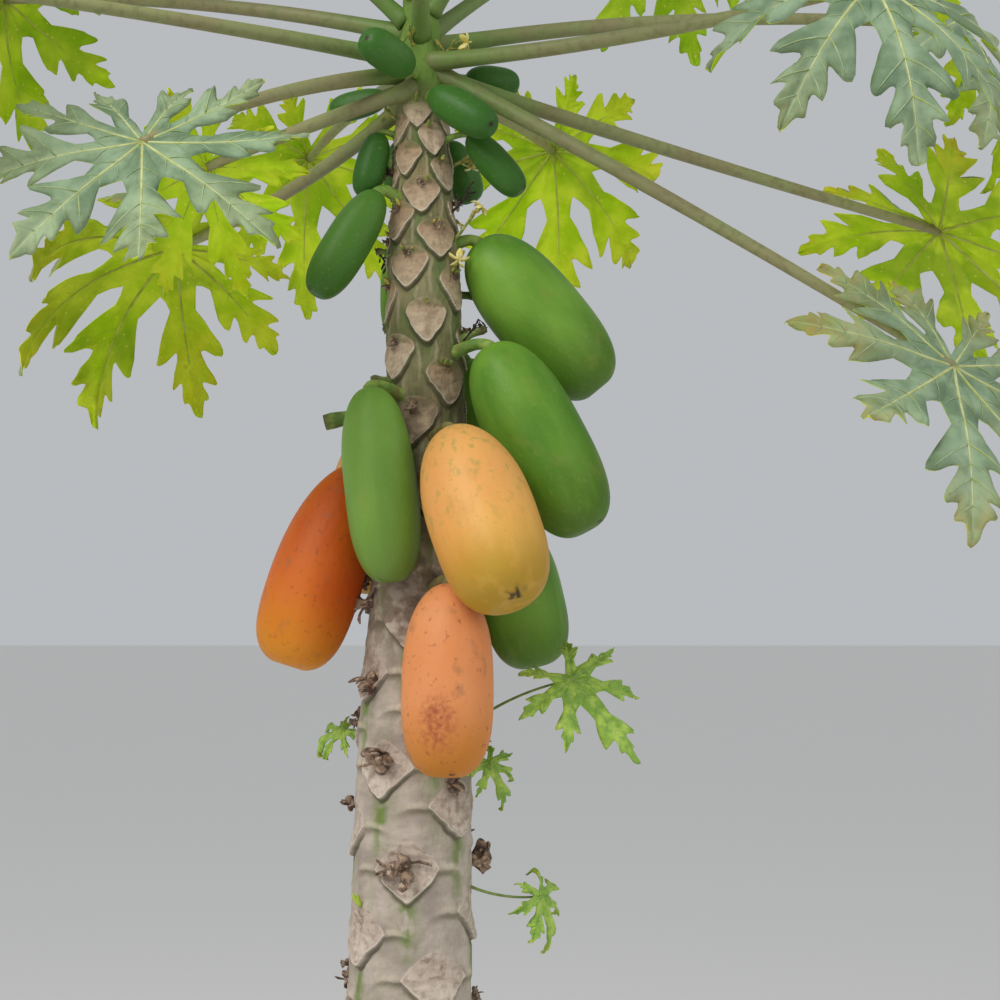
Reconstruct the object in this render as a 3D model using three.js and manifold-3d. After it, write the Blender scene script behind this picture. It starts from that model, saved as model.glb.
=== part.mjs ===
// A bearing papaya tree, rooted in level ground: one unbranched trunk, a crown of long-stalked
// palmate leaves, fruit that hangs on short stalks under the crown, and a few shoots on the trunk.
// Millimetres, +Z up. A viewer stands in front, at -Y, with +X on the right.
// The origin is the middle of the flat cut under the trunk, at ground level.

import * as THREE from "three";
import { mergeVertices } from "three/addons/utils/BufferGeometryUtils.js";
import Module from "manifold-3d";

const wasm = await Module();
wasm.setup();

// Driving dimensions

// What grows from the trunk stops this far short of it.
const JOINT_GAP = 0.3;

// Height and radius of the trunk, from the root flare at the ground to the growing tip.
const TRUNK_RADII = [
  [0, 130],
  [50, 115],
  [150, 105],
  [400, 97],
  [950, 89],
  [1240, 84],
  [1400, 79],
  [1530, 72],
  [1770, 59],
  [1960, 54],
  [2110, 45],
  [2220, 39],
  [2320, 33],
  [2440, 25],
  [2530, 15],
];
const TRUNK_SIDES = 18;

// Height and sideways place of the trunk's middle: it leans a little and comes back.
const TRUNK_LEAN = [
  [0, 0],
  [950, 4],
  [1240, 8],
  [1530, 17],
  [1820, 25],
  [1960, 22],
  [2110, 20],
  [2530, 14],
];

// The crown's leaves leave the trunk's top in a spiral, the oldest lowest. Degrees and millimetres.
// A stalk leaves the trunk at its foot's height and points to its heading as seen from above. It
// rises over level, has a length, and bends down on its way by its sag.
// A blade has a reach along its longest lobe, tips down from level by its pitch, turns away from
// its stalk's heading, rolls about its middle rib, and bends down towards its edge, or up where
// the bend is below 0.
const USUAL_STALK = { sag: 12 };
const USUAL_BLADE = { reach: 300, pitch: 60, turn: 0, roll: 0, bend: 45 };
const OLD_LEAVES = [
  {
    stalk: { foot: 2252, heading: 142, rise: -18, length: 505, sag: -18 },
    blade: { reach: 360, pitch: 16, turn: 42, roll: -34 },
  },
  {
    stalk: { foot: 2262, round: -124, heading: -164, rise: -24, length: 315, sag: 4 },
    blade: { reach: 208, turn: -30, roll: -40 },
  },
  {
    stalk: { foot: 2272, heading: 72, rise: 5, length: 640 },
    blade: { pitch: 64 },
  },
  {
    stalk: { foot: 2289, heading: -18, rise: -32, length: 852, sag: 4 },
    blade: { reach: 300, pitch: 50, turn: -76, roll: 31, bend: -16 },
  },
  {
    stalk: { foot: 2292, round: 22, heading: 9, rise: -15, length: 786, sag: -2 },
    blade: { reach: 350, pitch: 38, turn: 4, roll: 10, bend: 10 },
  },
  {
    stalk: { foot: 2290, round: -154, heading: -136, rise: -21, length: 476, sag: 16 },
    blade: { reach: 258, pitch: 52, turn: 56, roll: -8, bend: -14 },
  },
  {
    stalk: { foot: 2308, round: -44, heading: -36, rise: -1, length: 690, sag: -8 },
    blade: { reach: 290, pitch: 42, turn: -38 },
  },
  {
    stalk: { foot: 2302, heading: 108, rise: 2, length: 700 },
    blade: { pitch: 62 },
  },
  {
    stalk: { foot: 2315, round: -160, heading: -152, rise: 1, length: 720, sag: 4 },
    blade: { pitch: 56 },
  },
  {
    stalk: { foot: 2338, heading: 3, rise: 3, length: 770, sag: 14 },
    blade: { pitch: 48, turn: -22 },
  },
  {
    stalk: { foot: 2359, heading: 160, rise: 10, length: 690 },
    blade: { pitch: 54 },
  },
];

// A younger leaf follows from the one before: it heads a golden angle on, leaves the trunk a
// little higher, stands steeper, and is smaller.
const YOUNG_LEAVES = 12;
const GOLDEN_ANGLE = 137.5;
const FIRST_YOUNG = {
  stalk: { foot: 2352, heading: -88, rise: 26, length: 640 },
  blade: { reach: 290, pitch: 46, bend: 45 },
};
const LAST_YOUNG = {
  stalk: { foot: 2495, heading: -88 + GOLDEN_ANGLE * (YOUNG_LEAVES - 1), rise: 80, length: 310 },
  blade: { reach: 130, pitch: -60, bend: 26 },
};
const OLD_STALK_RADII = [12.5, 7];
const YOUNG_STALK_RADII = [7, 4];
const STALK_SIDES = 5;
const STALK_STEPS = 5;
const STALK_ROOT = 0.6; // how far a stalk starts inside the trunk, as a share of its radius

// The lobes of a blade from the middle one round to the back: the angle of each rib from the
// middle one, and its share of the blade's reach. A shoot's blade has fewer and slimmer lobes.
const LOBES = [
  [0, 1],
  [40, 0.96],
  [80, 0.86],
  [118, 0.72],
  [153, 0.54],
];
const SHOOT_LOBES = [
  [0, 1],
  [46, 0.72],
  [92, 0.64],
  [140, 0.5],
];
const WEB = 0.3; // the web between two ribs, as a share of their reach
const BACK_WEB = 0.08; // the same behind the stalk, as a share of the blade's reach
const FORK = 0.6; // where a rib's web starts to spread, as a share of the web
const LOBE_ROOM = 0.95; // how much of the way to the next lobe a side lobe may fill
const SIDE_VEIN = THREE.MathUtils.degToRad(44); // the angle of a side vein to its rib
// Notches and side lobes along a rib: the place along it, and the length along the side vein.
const LONG_TEETH = [
  [0.34, 0.1],
  [0.5, 0.28],
  [0.59, 0.09],
  [0.7, 0.2],
];
const SHORT_TEETH = [
  [0.36, 0.12],
  [0.56, 0.25],
];
const LONG_LOBE = 150; // a lobe longer than this has the long teeth
const RIB_THICKNESS = 6;

// Each fruit: where its neck is round the trunk, out from the trunk's middle and above the
// ground, then its length and width, how far it hangs off plumb and towards which heading, and
// how strongly it narrows to the neck (1 is an even oval).
const FRUIT = {
  green: [
    { round: -100, out: 64, height: 2284, length: 92, width: 53, plumb: 112, to: -141, taper: 1.1 },
    { round: -75, out: 62, height: 2252, length: 118, width: 55, plumb: 58, to: -26, taper: 1.1 },
    { round: -24, out: 76, height: 2198, length: 115, width: 48, plumb: 41, to: -8, taper: 1.1 },
    { round: -168, out: 62, height: 2205, length: 98, width: 46, plumb: 14, to: -165, taper: 1.1 },
    { round: -144, out: 76, height: 2112, length: 180, width: 67, plumb: 31, to: -160, taper: 1.1 },
    { round: 46, out: 92, height: 2307, length: 84, width: 46, plumb: 88, to: 20, taper: 1.2 },
    { round: 137, out: 70, height: 2274, length: 92, width: 42, plumb: 80, to: 163, taper: 1.2 },
    { round: 62, out: 78, height: 2212, length: 98, width: 54, plumb: 28, to: 40, taper: 1.2 },
    { round: 10, out: 80, height: 2050, length: 280, width: 134, plumb: 40, to: 6, taper: 1.1 },
    { round: -34, out: 112, height: 1888, length: 300, width: 134, plumb: 28, to: -8, taper: 1.1 },
    { round: -130, out: 117, height: 1826, length: 278, width: 102, plumb: 9, to: -40, taper: 1.1 },
    { round: 22, out: 123, height: 1652, length: 228, width: 124, plumb: 14, to: 14, taper: 1.2 },
    { round: 60, out: 110, height: 1890, length: 262, width: 132, plumb: 20, to: 62, taper: 1.3 },
    { round: 96, out: 92, height: 2112, length: 215, width: 108, plumb: 26, to: 96, taper: 1.3 },
    { round: 112, out: 76, height: 2216, length: 84, width: 50, plumb: 24, to: 112, taper: 1.2 },
  ],
  yellow: [
    { round: -72, out: 133, height: 1764, length: 279, width: 150, plumb: 28, to: -50, taper: 1.25 },
    { round: 124, out: 122, height: 1796, length: 262, width: 138, plumb: 14, to: 115, taper: 1.3 },
  ],
  orange: [
    { round: -174, out: 101, height: 1722, length: 304, width: 134, plumb: 18, to: -170, taper: 1.5 },
    { round: -72, out: 144, height: 1550, length: 266, width: 126, plumb: 7, to: -94, taper: 1.2 },
    { round: 86, out: 138, height: 1580, length: 258, width: 134, plumb: 8, to: 90, taper: 1.35 },
  ],
};
const FRUIT_SIDES = 8;
const FRUIT_RINGS = 7;
const FRUIT_FULLNESS = 2.7; // the power of the fruit's oval: 2 is an ellipse, more is blunter
const SMALL_FRUIT = 130; // a fruit shorter than this has the thin stalk
const FRUIT_STALK_RADII = { small: 4.5, large: 8 };
const FRUIT_STALK_SIDES = 5;
const FRUIT_STALK_STEPS = 4;
// In radii of the stalk: how deep it starts inside the trunk, how straight it comes up to the
// neck, how deep it ends inside the fruit, and how thin it is there.
const FRUIT_STALK_ROOT = 1.5;
const FRUIT_STALK_RUN = 1.5;
const FRUIT_STALK_SEAT = 0.6;
const FRUIT_STALK_END = 0.8;

// The shoots low on the trunk, each a small leaf on a thin stalk.
const SHOOTS = [
  {
    stalk: { foot: 1350, heading: -22, rise: 23, length: 172 },
    blade: { reach: 150, pitch: 44, turn: 0, roll: -44, bend: 20 },
  },
  {
    stalk: { foot: 1338, heading: 160, rise: 4, length: 34 },
    blade: { reach: 70, pitch: 14, turn: 14, roll: 40 },
  },
  {
    stalk: { foot: 1298, heading: -24, rise: 2, length: 36 },
    blade: { reach: 76, pitch: 56, turn: 0, roll: -30, bend: 40 },
  },
  {
    stalk: { foot: 1122, heading: -10, rise: -6, length: 104, sag: -30 },
    blade: { reach: 96, pitch: 66, turn: 24, roll: -48, bend: 36 },
  },
];
const SHOOT_SAG = 24;
const SHOOT_BEND = 60;
const SHOOT_RADII = [2.2, 1.6];
const SHOOT_STEPS = 4;
const SHOOT_THICKNESS = 2;

// How rough each kind of surface is: leaves are waxy and fruit has a smooth skin.
const BARK_ROUGHNESS = 0.9;
const LEAF_ROUGHNESS = 0.7;
const FRUIT_ROUGHNESS = 0.45;

const COLOURS = {
  bark: 0xa39a8b,
  leaf: 0x7d9a52,
  shoot: 0x86c23a,
  green: 0x5d8a3c,
  yellow: 0xe6ab45,
  orange: 0xdd7a33,
};

// Small helpers

const radians = THREE.MathUtils.degToRad;
const UP = new THREE.Vector3(0, 0, 1);

// The level direction at an angle in degrees from +X, turning towards +Y.
function headingVector(degrees) {
  return new THREE.Vector3(Math.cos(radians(degrees)), Math.sin(radians(degrees)), 0);
}

// A value between the rows of a table of [place, value].
function between(rows, place) {
  const last = rows.length - 1;
  const i = Math.min(Math.max(rows.findIndex(([at]) => at > place) - 1, 0), last - 1);
  const start = place >= rows[last][0] ? last - 1 : i;
  const [[a, from], [b, to]] = [rows[start], rows[start + 1]];
  return from + (to - from) * THREE.MathUtils.clamp((place - a) / (b - a), 0, 1);
}

// Solids

// A closed geometry as a solid, with its doubled vertices merged and collapsed faces left out.
function solidOf(geometry) {
  const bare = new THREE.BufferGeometry().setAttribute("position", geometry.getAttribute("position"));
  const merged = mergeVertices(geometry.index ? bare.setIndex(geometry.index) : bare, 1e-3);
  const corners = [];
  for (let i = 0; i < merged.index.count; i += 3) {
    const [a, b, c] = [0, 1, 2].map((k) => merged.index.getX(i + k));
    if (a !== b && b !== c && c !== a) corners.push(a, b, c);
  }
  return new wasm.Manifold(
    new wasm.Mesh({
      numProp: 3,
      vertProperties: merged.getAttribute("position").array,
      triVerts: new Uint32Array(corners),
    }),
  );
}

function meshOf(name, solid, colour, roughness) {
  const cut = solid.getMesh();
  const geometry = new THREE.BufferGeometry();
  geometry.setAttribute("position", new THREE.BufferAttribute(cut.vertProperties, cut.numProp));
  geometry.setIndex(new THREE.BufferAttribute(cut.triVerts, 1));
  geometry.computeVertexNormals();
  const mesh = new THREE.Mesh(
    geometry,
    new THREE.MeshStandardMaterial({ color: colour, roughness, metalness: 0 }),
  );
  mesh.name = name;
  return mesh;
}

// A limb that follows a line of points, with a radius at each end.
function limb(points, [startRadius, endRadius], sides) {
  const steps = points.length - 1;
  const geometry = new THREE.CylinderGeometry(1, 1, steps, sides, steps);
  const position = geometry.getAttribute("position");
  const tangents = points.map((_, i) =>
    points[Math.min(i + 1, steps)].clone().sub(points[Math.max(i - 1, 0)]).normalize(),
  );
  const sideways = tangents[0].clone().cross(UP);
  if (sideways.lengthSq() < 1e-6) sideways.set(1, 0, 0);
  for (let v = 0; v < position.count; v++) {
    const i = Math.round(position.getY(v) + steps / 2);
    const radius = startRadius + ((endRadius - startRadius) * i) / steps;
    const side = sideways.clone().addScaledVector(tangents[i], -sideways.dot(tangents[i])).normalize();
    const lift = side.clone().cross(tangents[i]);
    const place = points[i]
      .clone()
      .addScaledVector(side, position.getX(v) * radius)
      .addScaledVector(lift, position.getZ(v) * radius);
    position.setXYZ(v, place.x, place.y, place.z);
  }
  return solidOf(geometry);
}

// Trunk

const trunkMiddle = (height) => new THREE.Vector3(between(TRUNK_LEAN, height), 0, height);
const trunkRadius = (height) => between(TRUNK_RADII, height);
const trunkPoint = (round, height, out) =>
  trunkMiddle(height).addScaledVector(headingVector(round), out);

// The trunk, or with some extra radius the room that its neighbours keep clear of.
function trunkSolid(extra = 0) {
  const profile = [
    new THREE.Vector2(0, 0),
    ...TRUNK_RADII.map(([height, radius]) => new THREE.Vector2(radius + extra, height)),
    new THREE.Vector2(0, TRUNK_RADII.at(-1)[0] + extra),
  ];
  const geometry = new THREE.LatheGeometry(profile, TRUNK_SIDES).rotateX(Math.PI / 2);
  const position = geometry.getAttribute("position");
  for (let v = 0; v < position.count; v++)
    position.setX(v, position.getX(v) + between(TRUNK_LEAN, position.getZ(v)));
  return solidOf(geometry);
}

const trunkRoom = trunkSolid(JOINT_GAP);

// Leaves

// The points of a stalk that sags evenly along its length. It leaves the trunk on the side that
// it heads for, or at another place round it.
function stalkPoints({ foot, heading, round = heading, rise, length, sag }, steps) {
  const radius = trunkRadius(foot);
  const out = headingVector(heading);
  const direction = (share) => {
    const slope = radians(rise + sag * (0.5 - share));
    return out.clone().multiplyScalar(Math.cos(slope)).addScaledVector(UP, Math.sin(slope));
  };
  const skin = trunkPoint(round, foot, radius);
  const points = [skin.clone().addScaledVector(direction(0), -STALK_ROOT * radius), skin];
  for (let i = 0; i < steps; i++)
    points.push(points.at(-1).clone().addScaledVector(direction((i + 0.5) / steps), length / steps));
  return points;
}

// The lobes all the way round: the angle of each rib in order, its reach, and the half gap and
// web to the next rib.
function lobesOf(reach, lobes) {
  const ribs = lobes.slice(1).reverse().map(([angle, share]) => [-angle, share]).concat(lobes);
  return ribs.map(([angle, share], i) => {
    const last = i === ribs.length - 1;
    const [nextAngle, nextShare] = last ? [ribs[0][0] + 360, ribs[0][1]] : ribs[i + 1];
    return {
      angle: radians(angle),
      reach: share * reach,
      teeth: share * reach > LONG_LOBE ? LONG_TEETH : SHORT_TEETH,
      halfGap: radians((nextAngle - angle) / 2),
      web: reach * (last ? BACK_WEB : (WEB * (share + nextShare)) / 2),
    };
  });
}

// A blade: a thin body that is thickest along its ribs and comes to an edge at its margin. Its
// stalk meets it at the foot, its middle rib sets off along ahead, and its lobes bend.
function blade({ foot, ahead, normal, reach, bend, lobes: rows, thickness }) {
  const left = normal.clone().cross(ahead);
  const places = [];
  const faces = [];

  // A flat place on the blade, bent down along its radius and raised off its middle surface.
  const put = (x, y, lift) => {
    const radius = Math.hypot(x, y);
    const slope = (bend * radius) / reach;
    const outward = radius > 0 ? [x / radius, y / radius] : [0, 0];
    const run = slope === 0 ? radius : (Math.sin(slope) / slope) * radius;
    const drop = slope === 0 ? 0 : ((1 - Math.cos(slope)) / slope) * radius;
    const level = run + lift * Math.sin(slope);
    places.push(
      foot
        .clone()
        .addScaledVector(ahead, outward[0] * level)
        .addScaledVector(left, outward[1] * level)
        .addScaledVector(normal, lift * Math.cos(slope) - drop),
    );
    return places.length - 1;
  };
  const polar = (angle, radius) => [Math.cos(angle) * radius, Math.sin(angle) * radius];
  // A point of a rib or of the blade's middle, as its upper and lower vertex.
  const ribPoint = (x, y) => [put(x, y, thickness / 2), put(x, y, -thickness / 2)];
  // A face on the upper side and its twin below. A margin point is one vertex for both.
  const skin = (a, b, c) => {
    const [p, q, r] = [a, b, c].map((point) => (Array.isArray(point) ? point : [point, point]));
    faces.push(p[0], q[0], r[0], p[1], r[1], q[1]);
  };

  const lobes = lobesOf(reach, rows);
  const middle = ribPoint(0, 0);
  const webs = lobes.map(({ angle, halfGap, web }) => put(...polar(angle + halfGap, web), 0));
  lobes.forEach((lobe, i) => {
    const previous = lobes.at(i - 1);
    const fork = FORK * Math.min(lobe.web, WEB * lobe.reach);
    const along = [fork / lobe.reach, ...lobe.teeth.map(([place]) => place)];
    const rib = along.map((place) => ribPoint(...polar(lobe.angle, place * lobe.reach)));
    const tip = put(...polar(lobe.angle, lobe.reach), 0);
    for (const [hand, web, halfGap] of [
      [1, webs[i], lobe.halfGap],
      [-1, webs.at(i - 1), previous.halfGap],
    ]) {
      const margin = lobe.teeth.map(([place, length]) => {
        const start = place * lobe.reach;
        const room = (LOBE_ROOM * start * Math.sin(halfGap)) / Math.sin(SIDE_VEIN - halfGap);
        const [x, y] = polar(lobe.angle, start);
        const [dx, dy] = polar(lobe.angle + hand * SIDE_VEIN, Math.min(length * lobe.reach, room));
        return put(x + dx, y + dy, 0);
      });
      const edge = [web, ...margin];
      const face = (a, b, c) => (hand > 0 ? skin(a, b, c) : skin(a, c, b));
      face(middle, rib[0], web);
      for (let k = 0; k < margin.length; k++) {
        face(rib[k], rib[k + 1], edge[k]);
        face(rib[k + 1], edge[k + 1], edge[k]);
      }
      face(rib.at(-1), tip, edge.at(-1));
    }
  });

  const geometry = new THREE.BufferGeometry().setFromPoints(places);
  geometry.setIndex(faces);
  return solidOf(geometry);
}

// A leaf: a long stalk from the trunk, with its blade at the end.
function leaf(name, { stalk, blade: spread, lobes, radii, steps, thickness }, colour) {
  const points = stalkPoints(stalk, steps);
  const facing = headingVector(stalk.heading + spread.turn);
  const pitch = radians(spread.pitch);
  const ahead = facing.clone().multiplyScalar(Math.cos(pitch)).addScaledVector(UP, -Math.sin(pitch));
  const normal = facing.clone().multiplyScalar(Math.sin(pitch)).addScaledVector(UP, Math.cos(pitch));
  const bladeSolid = blade({
    foot: points.at(-1),
    ahead,
    normal: normal.applyAxisAngle(ahead, -radians(spread.roll)),
    reach: spread.reach,
    bend: radians(spread.bend),
    lobes,
    thickness,
  });
  const solid = limb(points, radii, STALK_SIDES).add(bladeSolid).subtract(trunkRoom);
  return meshOf(name, solid, colour, LEAF_ROUGHNESS);
}

// Every value of one set of sizes, mixed with its value in another.
function mixed(from, to, share) {
  return Object.fromEntries(
    Object.keys(from).map((key) => [key, THREE.MathUtils.lerp(from[key], to[key], share)]),
  );
}

function crownLeaves() {
  const old = OLD_LEAVES.map((row) => ({ ...row, radii: OLD_STALK_RADII }));
  const young = Array.from({ length: YOUNG_LEAVES }, (_, i) => {
    const share = i / (YOUNG_LEAVES - 1);
    return {
      stalk: mixed(FIRST_YOUNG.stalk, LAST_YOUNG.stalk, share),
      blade: mixed(FIRST_YOUNG.blade, LAST_YOUNG.blade, share),
      radii: Object.values(mixed(OLD_STALK_RADII, YOUNG_STALK_RADII, share)),
    };
  });
  return [...old, ...young].map(({ stalk, blade: spread, radii }, i) => {
    const sizes = {
      stalk: { ...USUAL_STALK, ...stalk },
      blade: { ...USUAL_BLADE, ...spread },
      lobes: LOBES,
      radii,
      steps: STALK_STEPS,
      thickness: RIB_THICKNESS,
    };
    return leaf(`leaf_${String(i + 1).padStart(2, "0")}`, sizes, COLOURS.leaf);
  });
}

function shootLeaves() {
  return SHOOTS.map(({ stalk, blade: spread }, i) => {
    const sizes = {
      stalk: { sag: SHOOT_SAG, ...stalk },
      blade: { ...USUAL_BLADE, bend: SHOOT_BEND, ...spread },
      lobes: SHOOT_LOBES,
      radii: SHOOT_RADII,
      steps: SHOOT_STEPS,
      thickness: SHOOT_THICKNESS,
    };
    return leaf(`shoot_${i + 1}`, sizes, COLOURS.shoot);
  });
}

// Fruit

function fruit(name, row, colour) {
  const axis = headingVector(row.to)
    .multiplyScalar(Math.sin(radians(row.plumb)))
    .addScaledVector(UP, -Math.cos(radians(row.plumb)));
  const neck = trunkPoint(row.round, row.height, row.out);
  const profile = Array.from({ length: FRUIT_RINGS + 1 }, (_, i) => {
    const along = (1 - Math.cos((Math.PI * i) / FRUIT_RINGS)) / 2;
    const oval = 1 - Math.abs(2 * along ** row.taper - 1) ** FRUIT_FULLNESS;
    const radius = (row.width / 2) * Math.max(oval, 0) ** (1 / FRUIT_FULLNESS);
    return new THREE.Vector2(radius, along * row.length);
  });
  profile[0].x = 0;
  profile.at(-1).x = 0;
  const body = new THREE.LatheGeometry(profile, FRUIT_SIDES)
    .applyQuaternion(new THREE.Quaternion().setFromUnitVectors(new THREE.Vector3(0, 1, 0), axis))
    .translate(neck.x, neck.y, neck.z);

  // The stalk sets off outward and up from the trunk, then turns down into the neck.
  const radius = row.length < SMALL_FRUIT ? FRUIT_STALK_RADII.small : FRUIT_STALK_RADII.large;
  const wood = trunkRadius(row.height);
  const rootHeight = row.height - radius;
  const bow = new THREE.CubicBezierCurve3(
    trunkPoint(row.round, rootHeight, wood - FRUIT_STALK_ROOT * radius),
    trunkPoint(row.round, rootHeight + radius, wood + radius),
    neck.clone().addScaledVector(axis, -FRUIT_STALK_RUN * radius),
    neck.clone().addScaledVector(axis, FRUIT_STALK_SEAT * radius),
  );
  const radii = [radius, FRUIT_STALK_END * radius];
  const stalk = limb(bow.getPoints(FRUIT_STALK_STEPS), radii, FRUIT_STALK_SIDES);
  return meshOf(name, solidOf(body).add(stalk).subtract(trunkRoom), colour, FRUIT_ROUGHNESS);
}

function hangingFruit() {
  return Object.entries(FRUIT).flatMap(([kind, rows]) =>
    rows.map((row, i) => fruit(`fruit_${kind}_${i + 1}`, row, COLOURS[kind])),
  );
}

// The tree

const tree = new THREE.Group();
tree.name = "papaya_tree";
tree.add(meshOf("trunk", trunkSolid(), COLOURS.bark, BARK_ROUGHNESS));
tree.add(...crownLeaves());
tree.add(...hangingFruit());
tree.add(...shootLeaves());

export default tree;
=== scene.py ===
# A bearing papaya tree, dressed for its portrait: bark with the scars of fallen leaves, a crown of
# long-stalked lobed leaves, fruit from green to ripe orange, flowers, dried stalks and shoots.
# Metres, +Z up. A viewer stands in front, at -Y. The origin is the middle of the trunk's foot.

import math
import random

import bmesh
import bpy
from mathutils import Matrix, Vector, noise


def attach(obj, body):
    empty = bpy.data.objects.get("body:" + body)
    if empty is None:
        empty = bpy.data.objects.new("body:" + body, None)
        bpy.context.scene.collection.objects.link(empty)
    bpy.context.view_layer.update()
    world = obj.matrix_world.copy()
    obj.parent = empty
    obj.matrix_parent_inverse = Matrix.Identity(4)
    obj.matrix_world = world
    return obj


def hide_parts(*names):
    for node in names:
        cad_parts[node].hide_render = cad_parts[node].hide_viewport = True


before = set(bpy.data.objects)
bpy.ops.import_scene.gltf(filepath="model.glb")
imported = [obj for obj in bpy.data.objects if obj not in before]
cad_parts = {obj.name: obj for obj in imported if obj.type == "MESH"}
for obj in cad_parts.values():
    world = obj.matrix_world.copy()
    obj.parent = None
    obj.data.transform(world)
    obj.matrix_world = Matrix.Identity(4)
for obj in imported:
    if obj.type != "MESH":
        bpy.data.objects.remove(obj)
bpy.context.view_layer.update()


# The trunk. One soft-wooded stem that never branches, wider at its foot. Each fallen leaf left a
# shield-shaped scar whose lower edges stand proud of the bark and meet in a point. On old grey
# bark a ridge arches on from each shoulder of a scar; young bark is green, and moss fills grooves.

TRUNK_RADII = [
    (0, 0.130), (0.050, 0.115), (0.150, 0.105), (0.400, 0.097), (0.950, 0.089),
    (1.240, 0.084), (1.400, 0.079), (1.530, 0.072), (1.770, 0.059), (1.960, 0.054),
    (2.110, 0.045), (2.220, 0.039), (2.320, 0.033), (2.440, 0.025), (2.530, 0.015),
]
TRUNK_LEAN = [
    (0, 0), (0.950, 0.004), (1.240, 0.008), (1.530, 0.017), (1.820, 0.025),
    (1.960, 0.022), (2.110, 0.020), (2.530, 0.014),
]
TRUNK_TOP = TRUNK_RADII[-1][0]
SEAM_LAP = 0.008  # how far the parts of the mesh lap, where each sinks in under the other
TRUNK_PARTS = [  # the heights that each part spans, and its columns and rows
    ("trunk_bark_lower", 0.0, 0.750, 120, 230),
    ("trunk_bark_middle", 0.750, 1.500, 200, 430),
    ("trunk_bark_upper", 1.500, TRUNK_TOP, 150, 590),
]
FRONT = math.radians(-90)
SCAR_TURN = math.radians(137.9)
FIRST_SCAR = -13  # scar 0 is the one that faces the viewer at 2.087 m, and they count down
LAST_SCAR = 77
SCAR_TIP = 2.087
SCAR_STEP = 0.01203
SCAR_STRETCH = 0.0001865
# On old bark and on young: a scar's half width and its heights below and above its shoulders as
# shares of the trunk's radius, how full its sides and its top are (under 1 they curve in), and
# how far its point stands out.
OLD_SCAR = {"width": 0.55, "below": 0.58, "above": 0.48, "sides": 1.0, "top": 1.3, "lift": 0.0065}
YOUNG_SCAR = {"width": 0.60, "below": 0.82, "above": 0.40, "sides": 1.2, "top": 1.9, "lift": 0.0032}
BLUNT = 0.10  # rounds off the point, which then ends at 0.92 of the height below the shoulders
NO_SCAR = 1.3  # the edge value beyond a scar; it is 1 on the scar's outline, less inside it
SCAR_NEAR = 1.35  # how far out a scar still shapes the bark, in its own half widths and heights
RIDGE_FROM, RIDGE_TO = 0.85, 2.2  # the ridges beside a scar, in its half widths
MOSS_FROM, MOSS_TO = -3.2, -0.7  # the mossy groove below a scar, in its heights
YOUNG_BARK = (1.46, 1.80)  # the heights between which grey bark turns to green
FLUTES, FLUTE_DEPTH, FLUTE_HEIGHT = 5, 0.035, 0.09  # the roots' swellings round the foot

UP = Vector((0, 0, 1))


def mix(start, end, share):
    return start + (end - start) * share


def mixed(start, end, share):
    """Every value of one set of sizes, mixed with its value in another."""
    return {key: mix(start[key], end[key], share) for key in start}


def smooth(start, end, value):
    """0 before start, 1 after end, and an even slope between; end may lie before start."""
    share = min(max((value - start) / (end - start), 0.0), 1.0)
    return share * share * (3 - 2 * share)


def bump(value, middle, half):
    """1 at a middle value, fading to 0 on both sides of it."""
    return math.exp(-(((value - middle) / half) ** 2))


def between(rows, place):
    """A value between the rows of a table of (place, value)."""
    for (a, start), (b, end) in zip(rows, rows[1:]):
        if place <= b:
            return mix(start, end, max((place - a) / (b - a), 0))
    return rows[-1][1]


def level(angle):
    """The level direction at an angle from +X, turning towards +Y."""
    return Vector((math.cos(angle), math.sin(angle), 0))


def trunk_radius(height):
    return between(TRUNK_RADII, height)


def trunk_point(angle, height, out):
    return Vector((between(TRUNK_LEAN, height), 0, height)) + level(angle) * out


def on_bark(angle, height, sunk=0):
    return trunk_point(angle, height, trunk_radius(height) - sunk)


def scar_list():
    """Each scar with its heading, its sizes in metres, the height of its shoulders and its tone."""
    dealt = random.Random(11)
    scars = []
    for number in range(FIRST_SCAR, LAST_SCAR + 1):
        tip = SCAR_TIP - SCAR_STEP * number - SCAR_STRETCH * number * number
        radius = trunk_radius(tip)
        scar = mixed(OLD_SCAR, YOUNG_SCAR, smooth(*YOUNG_BARK, tip))
        scar["width"] *= radius * dealt.uniform(0.90, 1.10)
        scar["below"] *= radius
        scar["above"] *= radius
        scar["heading"] = FRONT - SCAR_TURN * number + dealt.uniform(-0.05, 0.05)
        scar["shoulder"] = tip - 0.003 + 0.92 * scar["below"]
        scar["tone"] = dealt.random()
        scars.append(scar)
    return scars


SCARS = scar_list()


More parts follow.
